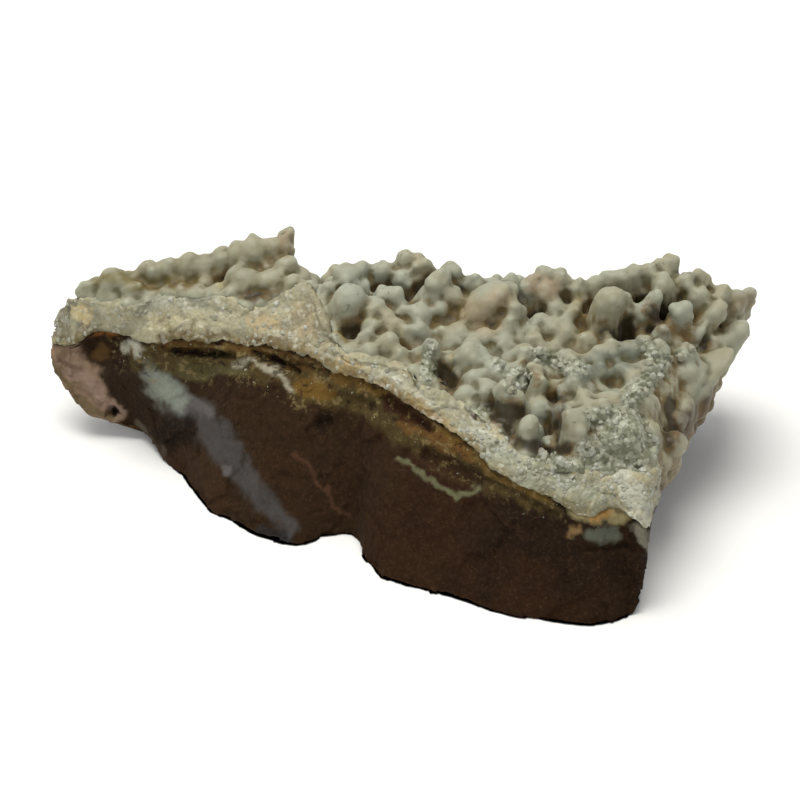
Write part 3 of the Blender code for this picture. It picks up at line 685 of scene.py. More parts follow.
# Hollows in the field behind the crest: a stroke, and the depth in millimetres.
HOLLOWS = (
    (((-27, 37.5, 1.6), (-23, 37.6, 1.4)), 1.2),
    (((13.5, 15.5, 2.2), (18.5, 12.5, 1.8)), 2.0),
    (((5.6, 25.5, 1.2), (8.6, 22.6, 2.2)), 1.6),
    (((38.5, 32.0, 1.6),), 1.2),
    (((15.4, 18.8, 2.0), (17.4, 16.0, 2.4), (18.0, 13.0, 1.8)), 2.2),
    (((25.5, 19.5, 1.3), (26.0, 13.5, 1.8)), 1.2),
    (((-14.5, 33.0, 1.0),), 1.0),
)
slab_grid = between_rings(slab_rings, SLAB_ROWS)
slab_points, slab_faces = closed_grid(slab_grid)
slab_mesh = mesh_of("broken_edge", slab_points, slab_faces)
outward = normals_of(slab_mesh)
row, column = np.divmod(np.arange(len(slab_points)), len(rim))
lip = np.exp(-((row - RIM_ROW) / 4.0) ** 2)
shoulder = np.exp(-((row - CREST_ROW + 4) / 8.0) ** 2)
rough = (0.55 * clouds(slab_points, 4.0, 51) + 0.30 * shards(slab_points, 2.2, 53)
         + 0.10 * shards(slab_points, 0.9, 57))
rough = rough * np.clip((row - RIM_ROW + 2) / 4, 0.1, 1) + 0.12 * lip
rough += shoulder * (0.9 * bubbles(slab_points, 5.0, 68) - 0.3)
slab_points = slab_points + outward * rough[:, None]
fray = 0.9 * clouds(slab_points, 3.2, 59) + 0.7 * clouds(slab_points, 1.1, 60) - 0.3
slab_points[:, 2] += lip * np.clip((slab_points[:, 0] + 50) / 8, 0.2, 1) * fray
slab_points[:, 2] += shoulder * (0.9 * bubbles(slab_points, 4.4, 68) - 1.2)
# Along the sides the fingers cover the crest, so it is smoothed and sunk a little.
beside = (column > len(FRONT) * FRONT_STEPS - 12) & (row > CREST_ROW - 10)
sunk_crest = np.minimum(slab_points[:, 2], slab_grid[CREST_ROW, column, 2] - 1.6)
slab_points[:, 2] = np.where(beside, sunk_crest, slab_points[:, 2])
in_field = np.clip((row - CREST_ROW - 6) / 4, 0, 1)
for line, depth in HOLLOWS:
    slab_points[:, 2] -= in_field * stroke(looks_at(slab_points), line, 2.0) * depth
move_points(slab_mesh, slab_points)

# %% [markdown]
# Its colours run from cream through warm grey to tan, grain by grain, with rust where it meets the rock and a
# darker brown painted as shade on the field among the fingers' feet.
# A little light goes into it, as it does into sugar, so the shader has subsurface scattering.

# %% Colours of the broken edge
BAND_CREAM = (142, 139, 114)
EDGE_MARKS = (
    (((-60, 33, 2.2), (-58.5, 37, 1.6)), 1.6, (104, 98, 76), 0.85),
    (((-46, 37.4, 1.4), (-40, 38.4, 1.6), (-34, 38.2, 1.6)), 2.0, (136, 137, 120), 0.8),
    (((-56.5, 35.6, 1.0), (-54.8, 35.2, 0.9)), 0.9, (182, 164, 116), 0.8),
    (((-56, 32.0, 0.5), (-55, 34.0, 0.4)), 0.7, (98, 72, 42), 0.8),
    (((-26, 34, 1.2), (-22, 33.5, 1.4)), 1.2, (158, 134, 90), 0.6),
    (((-19, 36, 1.4), (-17, 33, 1.6), (-20, 31.5, 1.2)), 1.4, (166, 140, 94), 0.6),
    (((-43, 34, 1.2), (-38, 34.5, 1.0)), 1.4, (164, 156, 122), 0.6),
    (((-12, 27.5, 1.2), (-8, 26.5, 1.2)), 1.2, (164, 142, 98), 0.7),
    (((-7, 25.6, 1.2), (-2, 25.0, 1.0), (4, 20.5, 1.0)), 1.0, (176, 174, 154), 0.7),
    (((0, 21.4, 0.9), (8, 15.8, 0.9), (14, 10.6, 0.7)), 0.9, (160, 136, 84), 0.6),
    (((10, 16.6, 1.0), (12, 15, 1.4), (18, 11, 1.4), (24, 7, 1.4)), 1.2, (166, 168, 150), 0.85),
    (((15, 11.6, 1.8), (21, 7.8, 2.2), (28, 4.6, 2.6), (33, 3.6, 2.4)), 1.8, (140, 143, 120), 0.85),
    (((26, 6.5, 1.2), (30, 5.4, 1.2)), 1.2, (168, 170, 150), 0.6),
    (((37.5, 8, 2.0), (39.5, 4, 2.2), (41, 0, 1.6)), 1.2, (172, 172, 154), 0.9),
    (((-20, 31, 2.0), (-16.5, 37.5, 2.4), (-14, 31, 1.8)), 3.0, (120, 113, 88), 0.8),
    (((-48, 29.8, 1.0), (-46, 32.2, 1.2)), 1.6, (132, 128, 104), 0.7),
    (((-42.4, 31.4, 0.7), (-38, 31.8, 1.0), (-34, 31.8, 1.0)), 0.9, (86, 66, 30), 0.9),
    (((-31, 31.2, 0.8), (-26, 30.9, 1.0), (-22, 30.2, 1.0)), 0.9, (96, 76, 36), 0.9),
    (((-21, 29.6, 0.8), (-17, 28.6, 1.1), (-13, 27.2, 0.9)), 0.9, (102, 84, 42), 0.9),
    (((-12, 26.6, 1.0), (-6, 24.4, 1.0), (0, 21.2, 0.8), (6, 17.2, 0.7)), 1.4, (138, 114, 64), 0.6),
    (((-10, 25.0, 0.5), (-4, 22.8, 0.6), (3, 18.4, 0.6), (8, 14.6, 0.5)), 0.8, (112, 84, 40), 0.8),
    (((24, 9, 1.6), (30, 6.5, 2.0)), 2.0, (110, 110, 86), 0.7),
)
grain_share = np.clip(0.5 + 0.9 * clouds(slab_points, 2.4, 61), 0, 1)
slab_colour = blended(np.array(paint(*BAND_CREAM)), (160, 152, 122), grain_share)
slab_colour = painted_over(slab_colour, wandering(slab_points, 2.0, 1.2, 63), EDGE_MARKS, 1.0)
near_rim = np.clip(1 - (slab_points[:, 2] - rim[column, 2] - 1.4 * clouds(slab_points, 3, 65)) / 2.2, 0, 1)
near_rim *= np.clip(0.55 + 1.2 * clouds(slab_points, 4, 67), 0, 1)
in_field = np.clip(in_field + 0.3 * clouds(slab_points, 3, 69), 0, 1) * (row > CREST_ROW)
# Rust along the rim; painted shade, a darker brown, on the field behind the crest among the fingers' feet.
slab_colour = blended(blended(slab_colour, (92, 80, 42), near_rim), (70, 56, 34), in_field)
store(slab_mesh, "tone", slab_colour)

broken_quartz = Recipe("sugary broken quartz", IOR=1.54, Specular_IOR_Level=0.4, Subsurface_Weight=0.25,
                       Subsurface_Scale=0.0012, Subsurface_Radius=(0.9, 0.9, 0.75))
tone = broken_quartz.painted("tone")
own = broken_quartz.grain_numbers(0.75)
patches = broken_quartz.noise(2.2, 4, 0.6)
tone = broken_quartz.mix(patches.between(0.52, 0.66) * 0.35, tone, paint(172, 160, 122))
tone = broken_quartz.mix((1 - patches).between(0.54, 0.66) * 0.40, tone, paint(122, 122, 108))
tone = broken_quartz.mix(own.between(0.70, 0.98) * 0.30, tone, paint(188, 186, 168))
tone = broken_quartz.mix((1 - own).between(0.75, 0.98) * 0.22, tone, paint(100, 92, 70))
tone = broken_quartz.mix(broken_quartz.noise(1.3, 3).between(0.66, 0.74) * 0.5, tone, paint(138, 112, 60))
height = broken_quartz.grains(0.7) * -0.6 + broken_quartz.noise(0.35, 3) * 0.3
edge_finish = broken_quartz.finish(Base_Color=tone, Roughness=0.60 - 0.30 * own.between(0.7, 0.9),
                                   Normal=broken_quartz.bumps(height, 0.3, 0.8))
make_piece(slab_mesh, edge_finish, "crust")

# %% [markdown]
# ## Fingers and knobs
# Finger chalcedony grows in round knobs, one on the other. Each finger is a surface of two parameters,
# along it and round it, and side knobs are spheres half sunk in it. All fingers are worked out together
# as one array with a row for each. A voxel remesh then melts them into one skin, as the mineral
# itself grew together, and leaves a soft crease between two knobs.

# %% Places of the fingers: across, up, height, radius and how far each goes down
BACK_LEFT = (
    (-54.5, 39.6, 26.5, 1.8, 4), (-50.6, 41.2, 29.0, 2.3, 5), (-47.5, 40.8, 28.0, 2.2, 4),
    (-43.0, 42.3, 30.0, 2.1, 5), (-40.5, 43.0, 30.5, 2.3, 5), (-37.5, 43.3, 31.0, 2.4, 5),
    (-34.5, 43.2, 31.0, 2.3, 5), (-31.5, 44.3, 32.0, 2.5, 6), (-37.0, 42.6, 30.0, 1.3, 3),
    (-29.0, 43.3, 32.0, 1.4, 4), (-32.0, 39.8, 31.0, 1.3, 3), (-26.0, 46.0, 34.5, 3.2, 8),
    (-23.0, 46.2, 34.5, 2.2, 7), (-28.5, 45.7, 34.0, 2.2, 7), (-21.2, 47.2, 35.5, 1.7, 6),
    (-24.0, 44.0, 33.0, 1.8, 5), (-20.7, 43.3, 33.5, 2.5, 7), (-27.5, 40.3, 31.5, 3.2, 6),
    (-23.0, 40.5, 32.0, 2.6, 6), (-19.2, 40.8, 33.5, 1.8, 5),
)
MIDDLE_FIELD = (
    (-12.0, 33.0, 30.0, 1.5, 4), (-10.0, 41.6, 35.0, 2.2, 8), (-13.2, 39.5, 33.5, 1.6, 6),
    (-7.4, 43.0, 35.2, 1.7, 8), (-4.0, 43.0, 35.0, 1.8, 8), (0.0, 44.7, 36.0, 1.6, 6),
    (2.4, 43.6, 35.5, 1.8, 7), (-0.5, 41.8, 34.5, 1.6, 6), (-1.5, 38.5, 33.5, 1.6, 6),
    (-5.5, 36.3, 33.0, 1.8, 7), (-3.5, 35.0, 32.0, 1.6, 6), (-6.0, 33.5, 31.5, 1.4, 5),
    (-2.0, 33.0, 31.0, 1.6, 5), (-3.0, 30.6, 30.5, 2.0, 6), (-6.5, 31.5, 30.5, 1.4, 5),
    (-6.0, 28.8, 29.0, 2.0, 5), (-7.3, 40.0, 33.5, 1.4, 5), (6.0, 41.3, 36.0, 2.0, 9),
    (3.6, 43.6, 35.5, 1.5, 8), (0.2, 31.8, 28.0, 1.9, 5), (-3.6, 38.4, 33.0, 1.9, 8),
    (-0.2, 35.4, 31.0, 1.8, 7), (6.2, 35.6, 31.0, 2.0, 7), (15.6, 35.0, 31.0, 2.2, 7),
    (8.0, 42.5, 35.5, 1.8, 8), (7.6, 38.6, 33.5, 1.9, 8), (4.5, 29.6, 30.5, 1.7, 7),
    (3.6, 25.5, 27.5, 1.6, 5), (18.6, 36.3, 32.5, 1.9, 8), (17.8, 33.2, 30.5, 1.8, 7),
    (12.0, 41.0, 34.5, 1.6, 6), (15.0, 40.6, 34.5, 1.4, 5), (18.5, 41.2, 34.5, 1.4, 6),
    (21.2, 40.3, 34.0, 1.5, 6), (24.2, 42.3, 35.5, 1.5, 7), (27.0, 41.2, 34.5, 1.6, 6),
    (24.0, 39.3, 33.0, 2.4, 6), (30.0, 39.8, 34.0, 1.4, 6), (32.6, 40.5, 34.0, 1.4, 6),
    (22.0, 32.0, 29.5, 1.6, 6), (23.0, 34.2, 30.5, 1.6, 6), (25.5, 33.0, 30.0, 1.7, 6),
    (27.6, 33.5, 30.0, 1.5, 6), (19.6, 31.3, 29.0, 1.4, 5), (29.0, 36.0, 31.5, 1.4, 5),
    (26.0, 36.6, 31.5, 1.7, 6),
)
RIGHT_FIELD = (
    (37.5, 37.8, 33.5, 1.7, 6), (37.5, 41.5, 34.4, 2.1, 7), (44.4, 42.4, 34.0, 2.1, 6),
    (31.3, 30.6, 28.5, 2.0, 5), (41.0, 36.0, 32.0, 1.6, 6), (50.5, 38.5, 32.0, 1.9, 7),
    (44.5, 40.3, 34.0, 1.9, 7), (35.2, 41.8, 35.0, 1.4, 6), (39.8, 42.4, 35.0, 1.5, 6),
    (41.8, 42.6, 35.0, 1.9, 7), (45.6, 44.0, 35.0, 1.6, 6), (48.5, 40.8, 33.5, 1.7, 6),
    (50.9, 41.6, 33.5, 1.4, 6), (56.3, 37.2, 29.0, 2.5, 5), (59.0, 38.4, 29.0, 1.6, 4),
    (54.5, 38.6, 31.0, 1.8, 6), (44.2, 31.8, 29.0, 1.7, 6), (53.6, 30.0, 25.0, 2.1, 4),
    (38.5, 35.2, 30.0, 1.8, 5), (30.0, 26.3, 26.5, 2.3, 4), (33.0, 27.2, 27.3, 2.5, 4),
    (36.0, 27.9, 28.0, 2.6, 5), (39.0, 28.8, 28.4, 2.5, 5), (41.0, 30.0, 28.6, 1.9, 5),
    (23.5, 28.2, 28.5, 1.9, 6), (28.0, 27.2, 27.6, 2.2, 7), (25.0, 23.5, 25.0, 2.8, 5),
    (31.5, 23.3, 24.5, 2.0, 5), (16.0, 25.2, 28.0, 2.7, 6), (19.3, 24.6, 27.6, 2.5, 6),
    (17.5, 22.0, 26.0, 2.6, 5), (10.5, 21.0, 25.8, 2.6, 4), (12.3, 23.8, 27.0, 2.6, 5),
    (13.8, 26.3, 28.0, 2.3, 6), (11.0, 28.2, 29.5, 2.4, 7), (10.0, 18.0, 25.0, 2.4, 3),
    (12.4, 17.6, 25.0, 2.3, 3), (21.0, 14.8, 23.0, 2.7, 4), (23.0, 18.8, 24.8, 2.4, 5),
    (24.5, 13.3, 22.5, 1.3, 3), (35.3, 19.0, 25.5, 3.6, 5), (38.0, 20.5, 25.8, 2.2, 4),
    (40.0, 22.8, 26.6, 2.3, 5), (41.8, 25.3, 27.6, 2.2, 5), (43.3, 28.6, 28.8, 2.2, 6),
    (48.3, 28.2, 26.8, 2.0, 6), (37.5, 14.0, 23.8, 4.0, 4), (41.5, 14.6, 22.5, 2.6, 4),
    (34.0, 12.5, 22.8, 3.4, 4), (40.3, 10.5, 20.8, 2.6, 4), (28.0, 8.5, 21.6, 2.8, 3),
    (44.6, 12.0, 17.0, 2.6, 5), (47.5, 18.5, 19.5, 2.4, 5), (50.4, 20.6, 18.8, 2.2, 3),
)
# Long fingers: the tip's across, up, height and radius, then the foot's across, up and height.
LONG = (
    (-20.2, 49.2, 36.2, 1.4, -21.4, 44.0, 31.0), (-9.8, 38.0, 34.5, 2.9, -10.9, 31.4, 26.5),
    (5.2, 40.0, 35.0, 2.4, 1.8, 34.0, 28.0), (2.6, 35.2, 31.6, 2.2, 3.4, 29.8, 25.5),
    (14.0, 38.0, 33.6, 3.2, 9.4, 32.4, 27.0), (16.6, 38.4, 33.3, 2.7, 13.0, 32.6, 27.0),
    (12.2, 30.4, 28.6, 2.6, 9.8, 27.0, 25.0), (8.0, 31.2, 28.8, 2.4, 6.4, 27.6, 25.5),
    (35.2, 37.6, 34.3, 2.9, 33.4, 31.2, 26.5), (43.0, 38.1, 33.8, 1.6, 41.0, 33.4, 28.0),
    (53.3, 35.9, 30.5, 2.0, 50.2, 31.4, 25.5), (47.7, 36.0, 32.0, 1.9, 45.8, 31.0, 26.5),
    (57.0, 32.3, 26.5, 2.0, 54.5, 28.5, 22.5), (51.4, 25.6, 23.4, 3.1, 45.0, 19.6, 18.6),
    (48.4, 23.6, 23.0, 2.7, 43.6, 17.0, 17.6), (28.2, 21.8, 27.3, 1.8, 29.6, 16.2, 21.0),
    (50.0, 32.2, 28.0, 1.7, 47.0, 28.6, 24.0),
)

# %% [markdown]
# A finger is a surface of two numbers: how far along it, and the angle round it. The first third of its
# length is a half sphere, the rest a stem that widens a little as it goes down. A knob is a sphere, by
# its angle from the pole and round it. All fingers are rows of one array, and so are all knobs.

# %% Surfaces of the fingers and knobs
ALONG, AROUND = 14, 14
CAP_SHARE, STEM_SHARE = 0.35, 0.6


def finger_grids(tips, radii, drops, leans):
    """Fingers, one to a row of the array: a round tip, then a stem that leans as it goes down.

    The radius is that of the tip, times 1 plus 0.6 of the share of the stem passed, times a slow wave.
    """
    t = np.linspace(0, 1, ALONG)
    turn = np.linspace(0, 2 * math.pi, AROUND, endpoint=False)
    cap = np.clip(t / CAP_SHARE, 0, 1) * math.pi / 2
    stem = np.clip((t - CAP_SHARE) / STEM_SHARE, 0, 1)
    wide = np.sin(cap) * (t <= CAP_SHARE + STEM_SHARE + 0.02) * (1 + 0.6 * stem)
    wide = wide * (1 + 0.07 * np.sin(5 * stem + tips[:, :1]))
    fall = (1 - np.cos(cap) - 1) * radii[:, None] + stem * drops[:, None]
    axis = tips[:, None, :] + np.stack((leans[:, :1] * fall, leans[:, 1:] * fall, -fall), -1)
    spokes = np.stack((np.cos(turn), np.sin(turn), np.zeros(AROUND)), -1)
    return axis[:, :, None, :] + (wide * radii[:, None])[:, :, None, None] * spokes


def knob_grids(centres, radii):
    """Round knobs, one to a row of the array: a sphere as polar angle by angle round."""
    polar = np.linspace(0, math.pi, 9)[:, None]
    turn = np.linspace(0, 2 * math.pi, AROUND, endpoint=False)
    unit = np.stack((np.sin(polar) * np.cos(turn), np.sin(polar) * np.sin(turn),
                     np.cos(polar) + 0 * turn), -1)
    return centres[:, None, None, :] + radii[:, None, None, None] * unit


def joined_grids(*stacks):
    """Points and quads of many closed grids, one after the other."""
    points, faces, start = [], [], 0
    for stack in stacks:
        count, rows, columns = stack.shape[:3]
        index = start + np.arange(count * rows * columns).reshape(count, rows, columns)
        right = np.roll(index, -1, 2)
        faces.append(np.stack((index[:, 1:], right[:, 1:], right[:, :-1], index[:, :-1]), -1).reshape(-1, 4))
        points.append(stack.reshape(-1, 3))
        start += index.size
    return np.concatenate(points), np.concatenate(faces)


# %% [markdown]
# The seen fingers come from the lists above, one row each in arrays of tips, radii, drops and leans. A
# short finger leans a little at random, and a long one leans from its own tip to its own foot.

# %% The seen fingers as arrays
chance = np.random.default_rng(11)
named = np.array(BACK_LEFT + MIDDLE_FIELD + RIGHT_FIELD, float)
long_ones = np.array(LONG)
feet = seen_at(*long_ones[:, 4:].T) - seen_at(*long_ones[:, :3].T)
tips = np.concatenate((seen_at(*named[:, :3].T), seen_at(*long_ones[:, :3].T)))
radii = np.concatenate((named[:, 3], long_ones[:, 3]))
drops = np.concatenate((named[:, 4], -feet[:, 2]))
leans = chance.uniform((-0.2, -0.15), (0.2, 0.25), (len(named), 2))
leans = np.concatenate((leans, -feet[:, :2] / feet[:, 2:]))
is_long = np.arange(len(tips)) >= len(named)

# %% [markdown]
# No finger may hang over the broken edge. How far inside the crest a place lies is asked for a great many
# points, so the nearest point of the crest is worked out once, for a map of small cells.

# %% How far inside the crest a place lies
CELL, PLAN_CORNER, PLAN_END = 0.5, (-80, -50), (80, 60)
plan = np.stack(np.meshgrid(*map(np.arange, PLAN_CORNER, PLAN_END, (CELL, CELL)), indexing="ij"), -1)
POST_STEP = 3
posts, post_heights, rim_heights = crest[::POST_STEP, :2], crest[::POST_STEP, 2], rim[::POST_STEP, 2]
LAST_FRONT_POST = len(FRONT) * FRONT_STEPS / POST_STEP
ahead = np.roll(posts, -1, 0) - np.roll(posts, 1, 0)
inner = np.stack((-ahead[:, 1], ahead[:, 0]), 1) / np.linalg.norm(ahead, axis=1)[:, None]
nearest = np.array([((strip[:, None] - posts) ** 2).sum(-1).argmin(1) for strip in plan])


def nearest_post(places):
    """The number of the crest point that is nearest in plan, read from a map of small cells."""
    cell = ((places[:, :2] - PLAN_CORNER) / CELL).round().astype(int)
    return nearest[cell[:, 0], cell[:, 1]]


def depth_inside(places):
    """How far inside the crest each place lies in plan, in millimetres."""
    post = nearest_post(places)
    return ((places[:, :2] - posts[post]) * inner[post]).sum(1)


def kept_behind(points):
    """Points below the front crest moved inwards and up, so that no finger shows through the broken edge."""
    post, deep = nearest_post(points), depth_inside(points)
    in_front = np.clip((LAST_FRONT_POST - 4 - post) / 10, 0, 1)
    wanted = np.clip((post_heights[post] - 0.4 - points[:, 2]) * 1.2, 0, 3.4)
    lowest = rim_heights[post] + 0.8 - np.clip(deep - 5, 0, 9)
    moved = points.copy()
    moved[:, :2] += inner[post] * (np.clip(wanted - deep, 0, 6) * in_front)[:, None]
    moved[:, 2] += np.clip(lowest - points[:, 2], 0, 9) * (in_front > 0)
    return moved


def share_of_crest(places):
    """How far out each place in plan is, as a share of the way from the middle to the crest."""
    spokes, away = crest[:, :2] - MIDDLE, places[:, :2] - MIDDLE
    order = np.argsort(np.arctan2(spokes[:, 1], spokes[:, 0]))
    return np.hypot(*away.T) / np.interp(
        np.arctan2(away[:, 1], away[:, 0]), np.arctan2(spokes[:, 1], spokes[:, 0])[order],
        np.hypot(*spokes.T)[order], period=2 * math.pi)


# A finger that would stand in front of the broken edge is moved back along the view, where it looks the same.
too_near = np.clip(1.8 - depth_inside(tips), 0, 5) * ((tips[:, 0] < 38) & (tips[:, 1] < 28))
tips = tips + too_near[:, None] / COSINE * (0, COSINE, -SINE)


def field_level(places):
    """The height of the crust's floor: a slope towards the crest's own height, along the stone's length."""
    share = share_of_crest(places)
    return FIELD_HEIGHT + (np.interp(places[:, 0], (-60, -20, 60), (24, 28, 20)) - FIELD_HEIGHT) * share


drops = np.maximum(drops, tips[:, 2] - field_level(tips) + 1.5)
outside = np.clip(3.5 - depth_inside(tips), 0, 8)[:, None]
inwards = towards_spine(tips) * np.minimum(outside / drops[:, None], 0.6)
leans = np.where((outside > 0) & ~is_long[:, None], inwards, leans)

# %% [markdown]
# Smaller fingers fill the field between the seen ones on a jittered grid. They are lower near the crest,
# and there are none where the stone has a dark hollow.

# %% Small fingers between the seen ones
SPACING = 2.6
spots = np.stack(np.meshgrid(np.arange(-58, 60, SPACING), np.arange(-20, 40, SPACING)), -1).reshape(-1, 2)
spots = spots + chance.uniform(-1.0, 1.0, spots.shape)
rise = chance.uniform(2.0, 5.6, len(spots)) * np.where(depth_inside(spots) > 5, 1, 0.6)
fill_tips = np.column_stack((spots, field_level(spots) + rise))
gap = (np.hypot(*(spots[:, None] - tips[:, :2]).transpose(2, 0, 1)) - radii).min(1)
in_hollow = np.max([stroke(looks_at(fill_tips), line, 2.0) for line, _ in HOLLOWS], axis=0) > 0.1
free = (depth_inside(spots) > 2.5) & (gap > 0.0) & ~in_hollow
fill_tips, rise = fill_tips[free], rise[free]
fill_radii = chance.uniform(1.4, 2.3, len(fill_tips))

# %% [markdown]
# A row of small lobes rounds off the crest of the broken edge, and more of them cover the right flank and
# the back, where the crust is grown over and not broken.

# %% Lobes along the crest and on the flanks
round_crest = np.cumsum(np.linalg.norm(np.diff(crest, axis=0), axis=1))
lobe_steps = np.searchsorted(round_crest, np.arange(0, 330, 3.3))
lobe_steps = np.unique(lobe_steps[lobe_steps < len(crest)])
lobe_radii = chance.uniform(1.5, 2.5, len(lobe_steps))
left_lobes = np.abs(looks_at(crest[lobe_steps])[:, 0] + 37) < 13
inset = np.where(left_lobes, 1.9, 2.7)[:, None]
lobes = crest[lobe_steps] + (moved_in(crest, 1.0) - crest)[lobe_steps] * inset
lobes += chance.uniform(-0.5, 0.5, lobes.shape)
lobes[:, 2] -= lobe_radii * np.where(left_lobes, 0.6, 0.85)
whole = (looks_at(lobes)[:, 0] < -20) | (looks_at(lobes)[:, 0] > -12) | (lobes[:, 1] > 15)
lobes, lobe_radii = lobes[whole], lobe_radii[whole]

flank = np.arange(len(slab_grid) * len(rim)).reshape(len(slab_grid), -1)[RIM_ROW + 5:CREST_ROW:7, ::4].ravel()
flank = flank + chance.integers(-1, 2, len(flank)) + len(rim) * chance.integers(-2, 3, len(flank))
flank = flank[((slab_points[flank, 0] > 43) | (slab_points[flank, 1] > 32)) & (slab_points[flank, 0] > -57)]
flank_radii = chance.uniform(1.2, 2.3, len(flank))
flank_knobs = slab_points[flank] - normals_of(slab_mesh)[flank] * 0.5 * flank_radii[:, None]
lobes = np.concatenate((lobes, flank_knobs))
lobe_radii = np.concatenate((lobe_radii, flank_radii))

# %% [markdown]
# Every finger carries side knobs: large ones half sunk in it, and small ones that only stand out a little.
# Long fingers get fewer, because the photograph shows them plump and rather smooth.

# %% Side knobs
all_tips = np.concatenate((tips, fill_tips))
all_radii = np.concatenate((radii, fill_radii))
all_drops = np.concatenate((drops, rise + 2))
all_leans = np.concatenate((leans, chance.uniform(-0.3, 0.3, (len(fill_tips), 2))))
knob_share = np.where(np.pad(is_long, (0, len(fill_tips))), 0.45, 1.0)


def side_knobs(per_millimetre, standing, widths):
    """Centres, radii and owners of knobs: each is pushed out from its finger's line, or up at its tip."""
    count = np.maximum(1, (all_drops * knob_share * per_millimetre).astype(int))
    owner = np.repeat(np.arange(len(all_tips)), count)
    on_tip = chance.uniform(0, 1, len(owner)) < 0.15
    down = np.where(on_tip, 0, chance.uniform(0, 0.9, len(owner)) * all_drops[owner])
    turn = chance.uniform(0, 2 * math.pi, len(owner))
    lift = np.where(on_tip, chance.uniform(0.0, 1.3, len(owner)), 0)
    out = all_radii[owner] * chance.uniform(*standing, len(owner))
    push = np.stack((np.cos(lift) * np.cos(turn), np.cos(lift) * np.sin(turn), np.sin(lift)), 1)
    along = np.column_stack((all_leans[owner] * down[:, None], -down))
    return all_tips[owner] + along + push * out[:, None], chance.uniform(*widths, len(owner)), owner


large, large_share, large_owner = side_knobs(1.2, (0.4, 0.75), (0.52, 0.78))
small, small_radii, small_owner = side_knobs(0.8, (0.7, 0.95), (0.6, 1.1))
knobs, owner = np.concatenate((large, small)), np.concatenate((large_owner, small_owner))
knob_radii = np.concatenate((large_share * all_radii[large_owner], small_radii))
print(len(tips), "seen fingers,", len(fill_tips), "small,", len(knobs), "side knobs,", len(lobes), "lobes")

# %% [markdown]
# The shapes overlap like soap bubbles. A voxel remesh keeps only their common skin, and three rounds of
# smoothing take off its steps. Loose specks are dropped, the skin is moved back by the extra width that
# the shapes came in with, and averaged once more. It is all one growth, and is made as three meshes only
# so that none gets too heavy.

# %% Melt them together, in three pieces that meet in creases
VOXEL, SWELL = 0.36, 0.3
SMOOTH_ROUNDS = 3
SMALLEST_ISLAND = 100


def averaged(mesh, points, rounds):
    """Each point moved to the average of its neighbours along the edges, this many times over."""
    ends = read(mesh.edges, "vertices", 2, np.int32)
    here, there = np.concatenate((ends, ends[:, ::-1])).T
    count = np.bincount(here, minlength=len(points))[:, None]
    for _ in range(rounds):
        points = np.stack([np.bincount(here, points[there, k], len(points)) for k in range(3)], 1) / count
    return points


def without_specks(mesh):
    """The mesh without its smallest loose islands.

    Each point takes the lowest number among its neighbours' numbers, over and over, until nothing
    changes. Then all points of an island share one number, and the smallest islands are left out.
    """
    here, there = read(mesh.edges, "vertices", 2, np.int32).T
    before, island = None, np.arange(len(mesh.vertices))
    while before is None or (island != before).any():
        before = island.copy()
        lowest = np.minimum(before[here], before[there])
        np.minimum.at(island, here, lowest)
        np.minimum.at(island, there, lowest)
        island = island[island]
    kept = np.bincount(island, minlength=len(island))[island] >= SMALLEST_ISLAND
    quads = read(mesh.loops, "vertex_index", 1, np.int32).reshape(-1, 4)
    return mesh_of(mesh.name, points_of(mesh)[kept], (np.cumsum(kept) - 1)[quads[kept[quads[:, 0]]]])


def melted(name, points, faces):
    """The overlapping shapes as one skin: a voxel remesh, a little smoothing, and the extra width taken back.

    The shapes come in too fat by SWELL. Moving the skin back along its normals leaves a rounded
    hollow of that radius in each crease.
    """
    raw = bpy.data.objects.new(name, mesh_of(name + " raw", points, faces))
    bpy.context.scene.collection.objects.link(raw)
    remesh = raw.modifiers.new("melt", "REMESH")
    remesh.mode, remesh.voxel_size = "VOXEL", VOXEL * MM
    soften = raw.modifiers.new("soften", "SMOOTH")
    soften.iterations = SMOOTH_ROUNDS
    graph = bpy.context.evaluated_depsgraph_get()
    mesh = without_specks(bpy.data.meshes.new_from_object(raw.evaluated_get(graph)))
    mesh.name = name
    bpy.data.objects.remove(raw)
    move_points(mesh, points_of(mesh) - SWELL * normals_of(mesh))
    move_points(mesh, averaged(mesh, points_of(mesh), 1))
    return mesh


def sky_level(points):
    """How high the crust stands round each point: the tallest in each 1 mm cell of a plan, then averaged."""
    cell = np.floor(points[:, :2] + 90).astype(int)
    tall = np.full((200, 200), 15.0)
    np.maximum.at(tall, (cell[:, 0], cell[:, 1]), points[:, 2])
    for _ in range(5):
        tall = sum(np.roll(tall, step, axis) for axis in (0, 1) for step in (-1, 0, 1)) / 6
    return tall[cell[:, 0], cell[:, 1]]


groups = {"fingers_left": (-99, -16), "fingers_middle": (-16, 21), "fingers_right": (21, 99)}
finger_meshes = []
for name, (west, east) in groups.items():
    mine, near = ((west <= places[:, 0]) & (places[:, 0] < east) for places in (all_tips, lobes))
    beside = mine[owner]
    points, faces = joined_grids(
        finger_grids(all_tips[mine], all_radii[mine] + SWELL, all_drops[mine], all_leans[mine]),
        knob_grids(knobs[beside], knob_radii[beside] + SWELL),
        knob_grids(lobes[near], lobe_radii[near] + SWELL))
    finger_meshes.append(melted(name, points, faces))
    print(name, len(finger_meshes[-1].polygons), "quads")
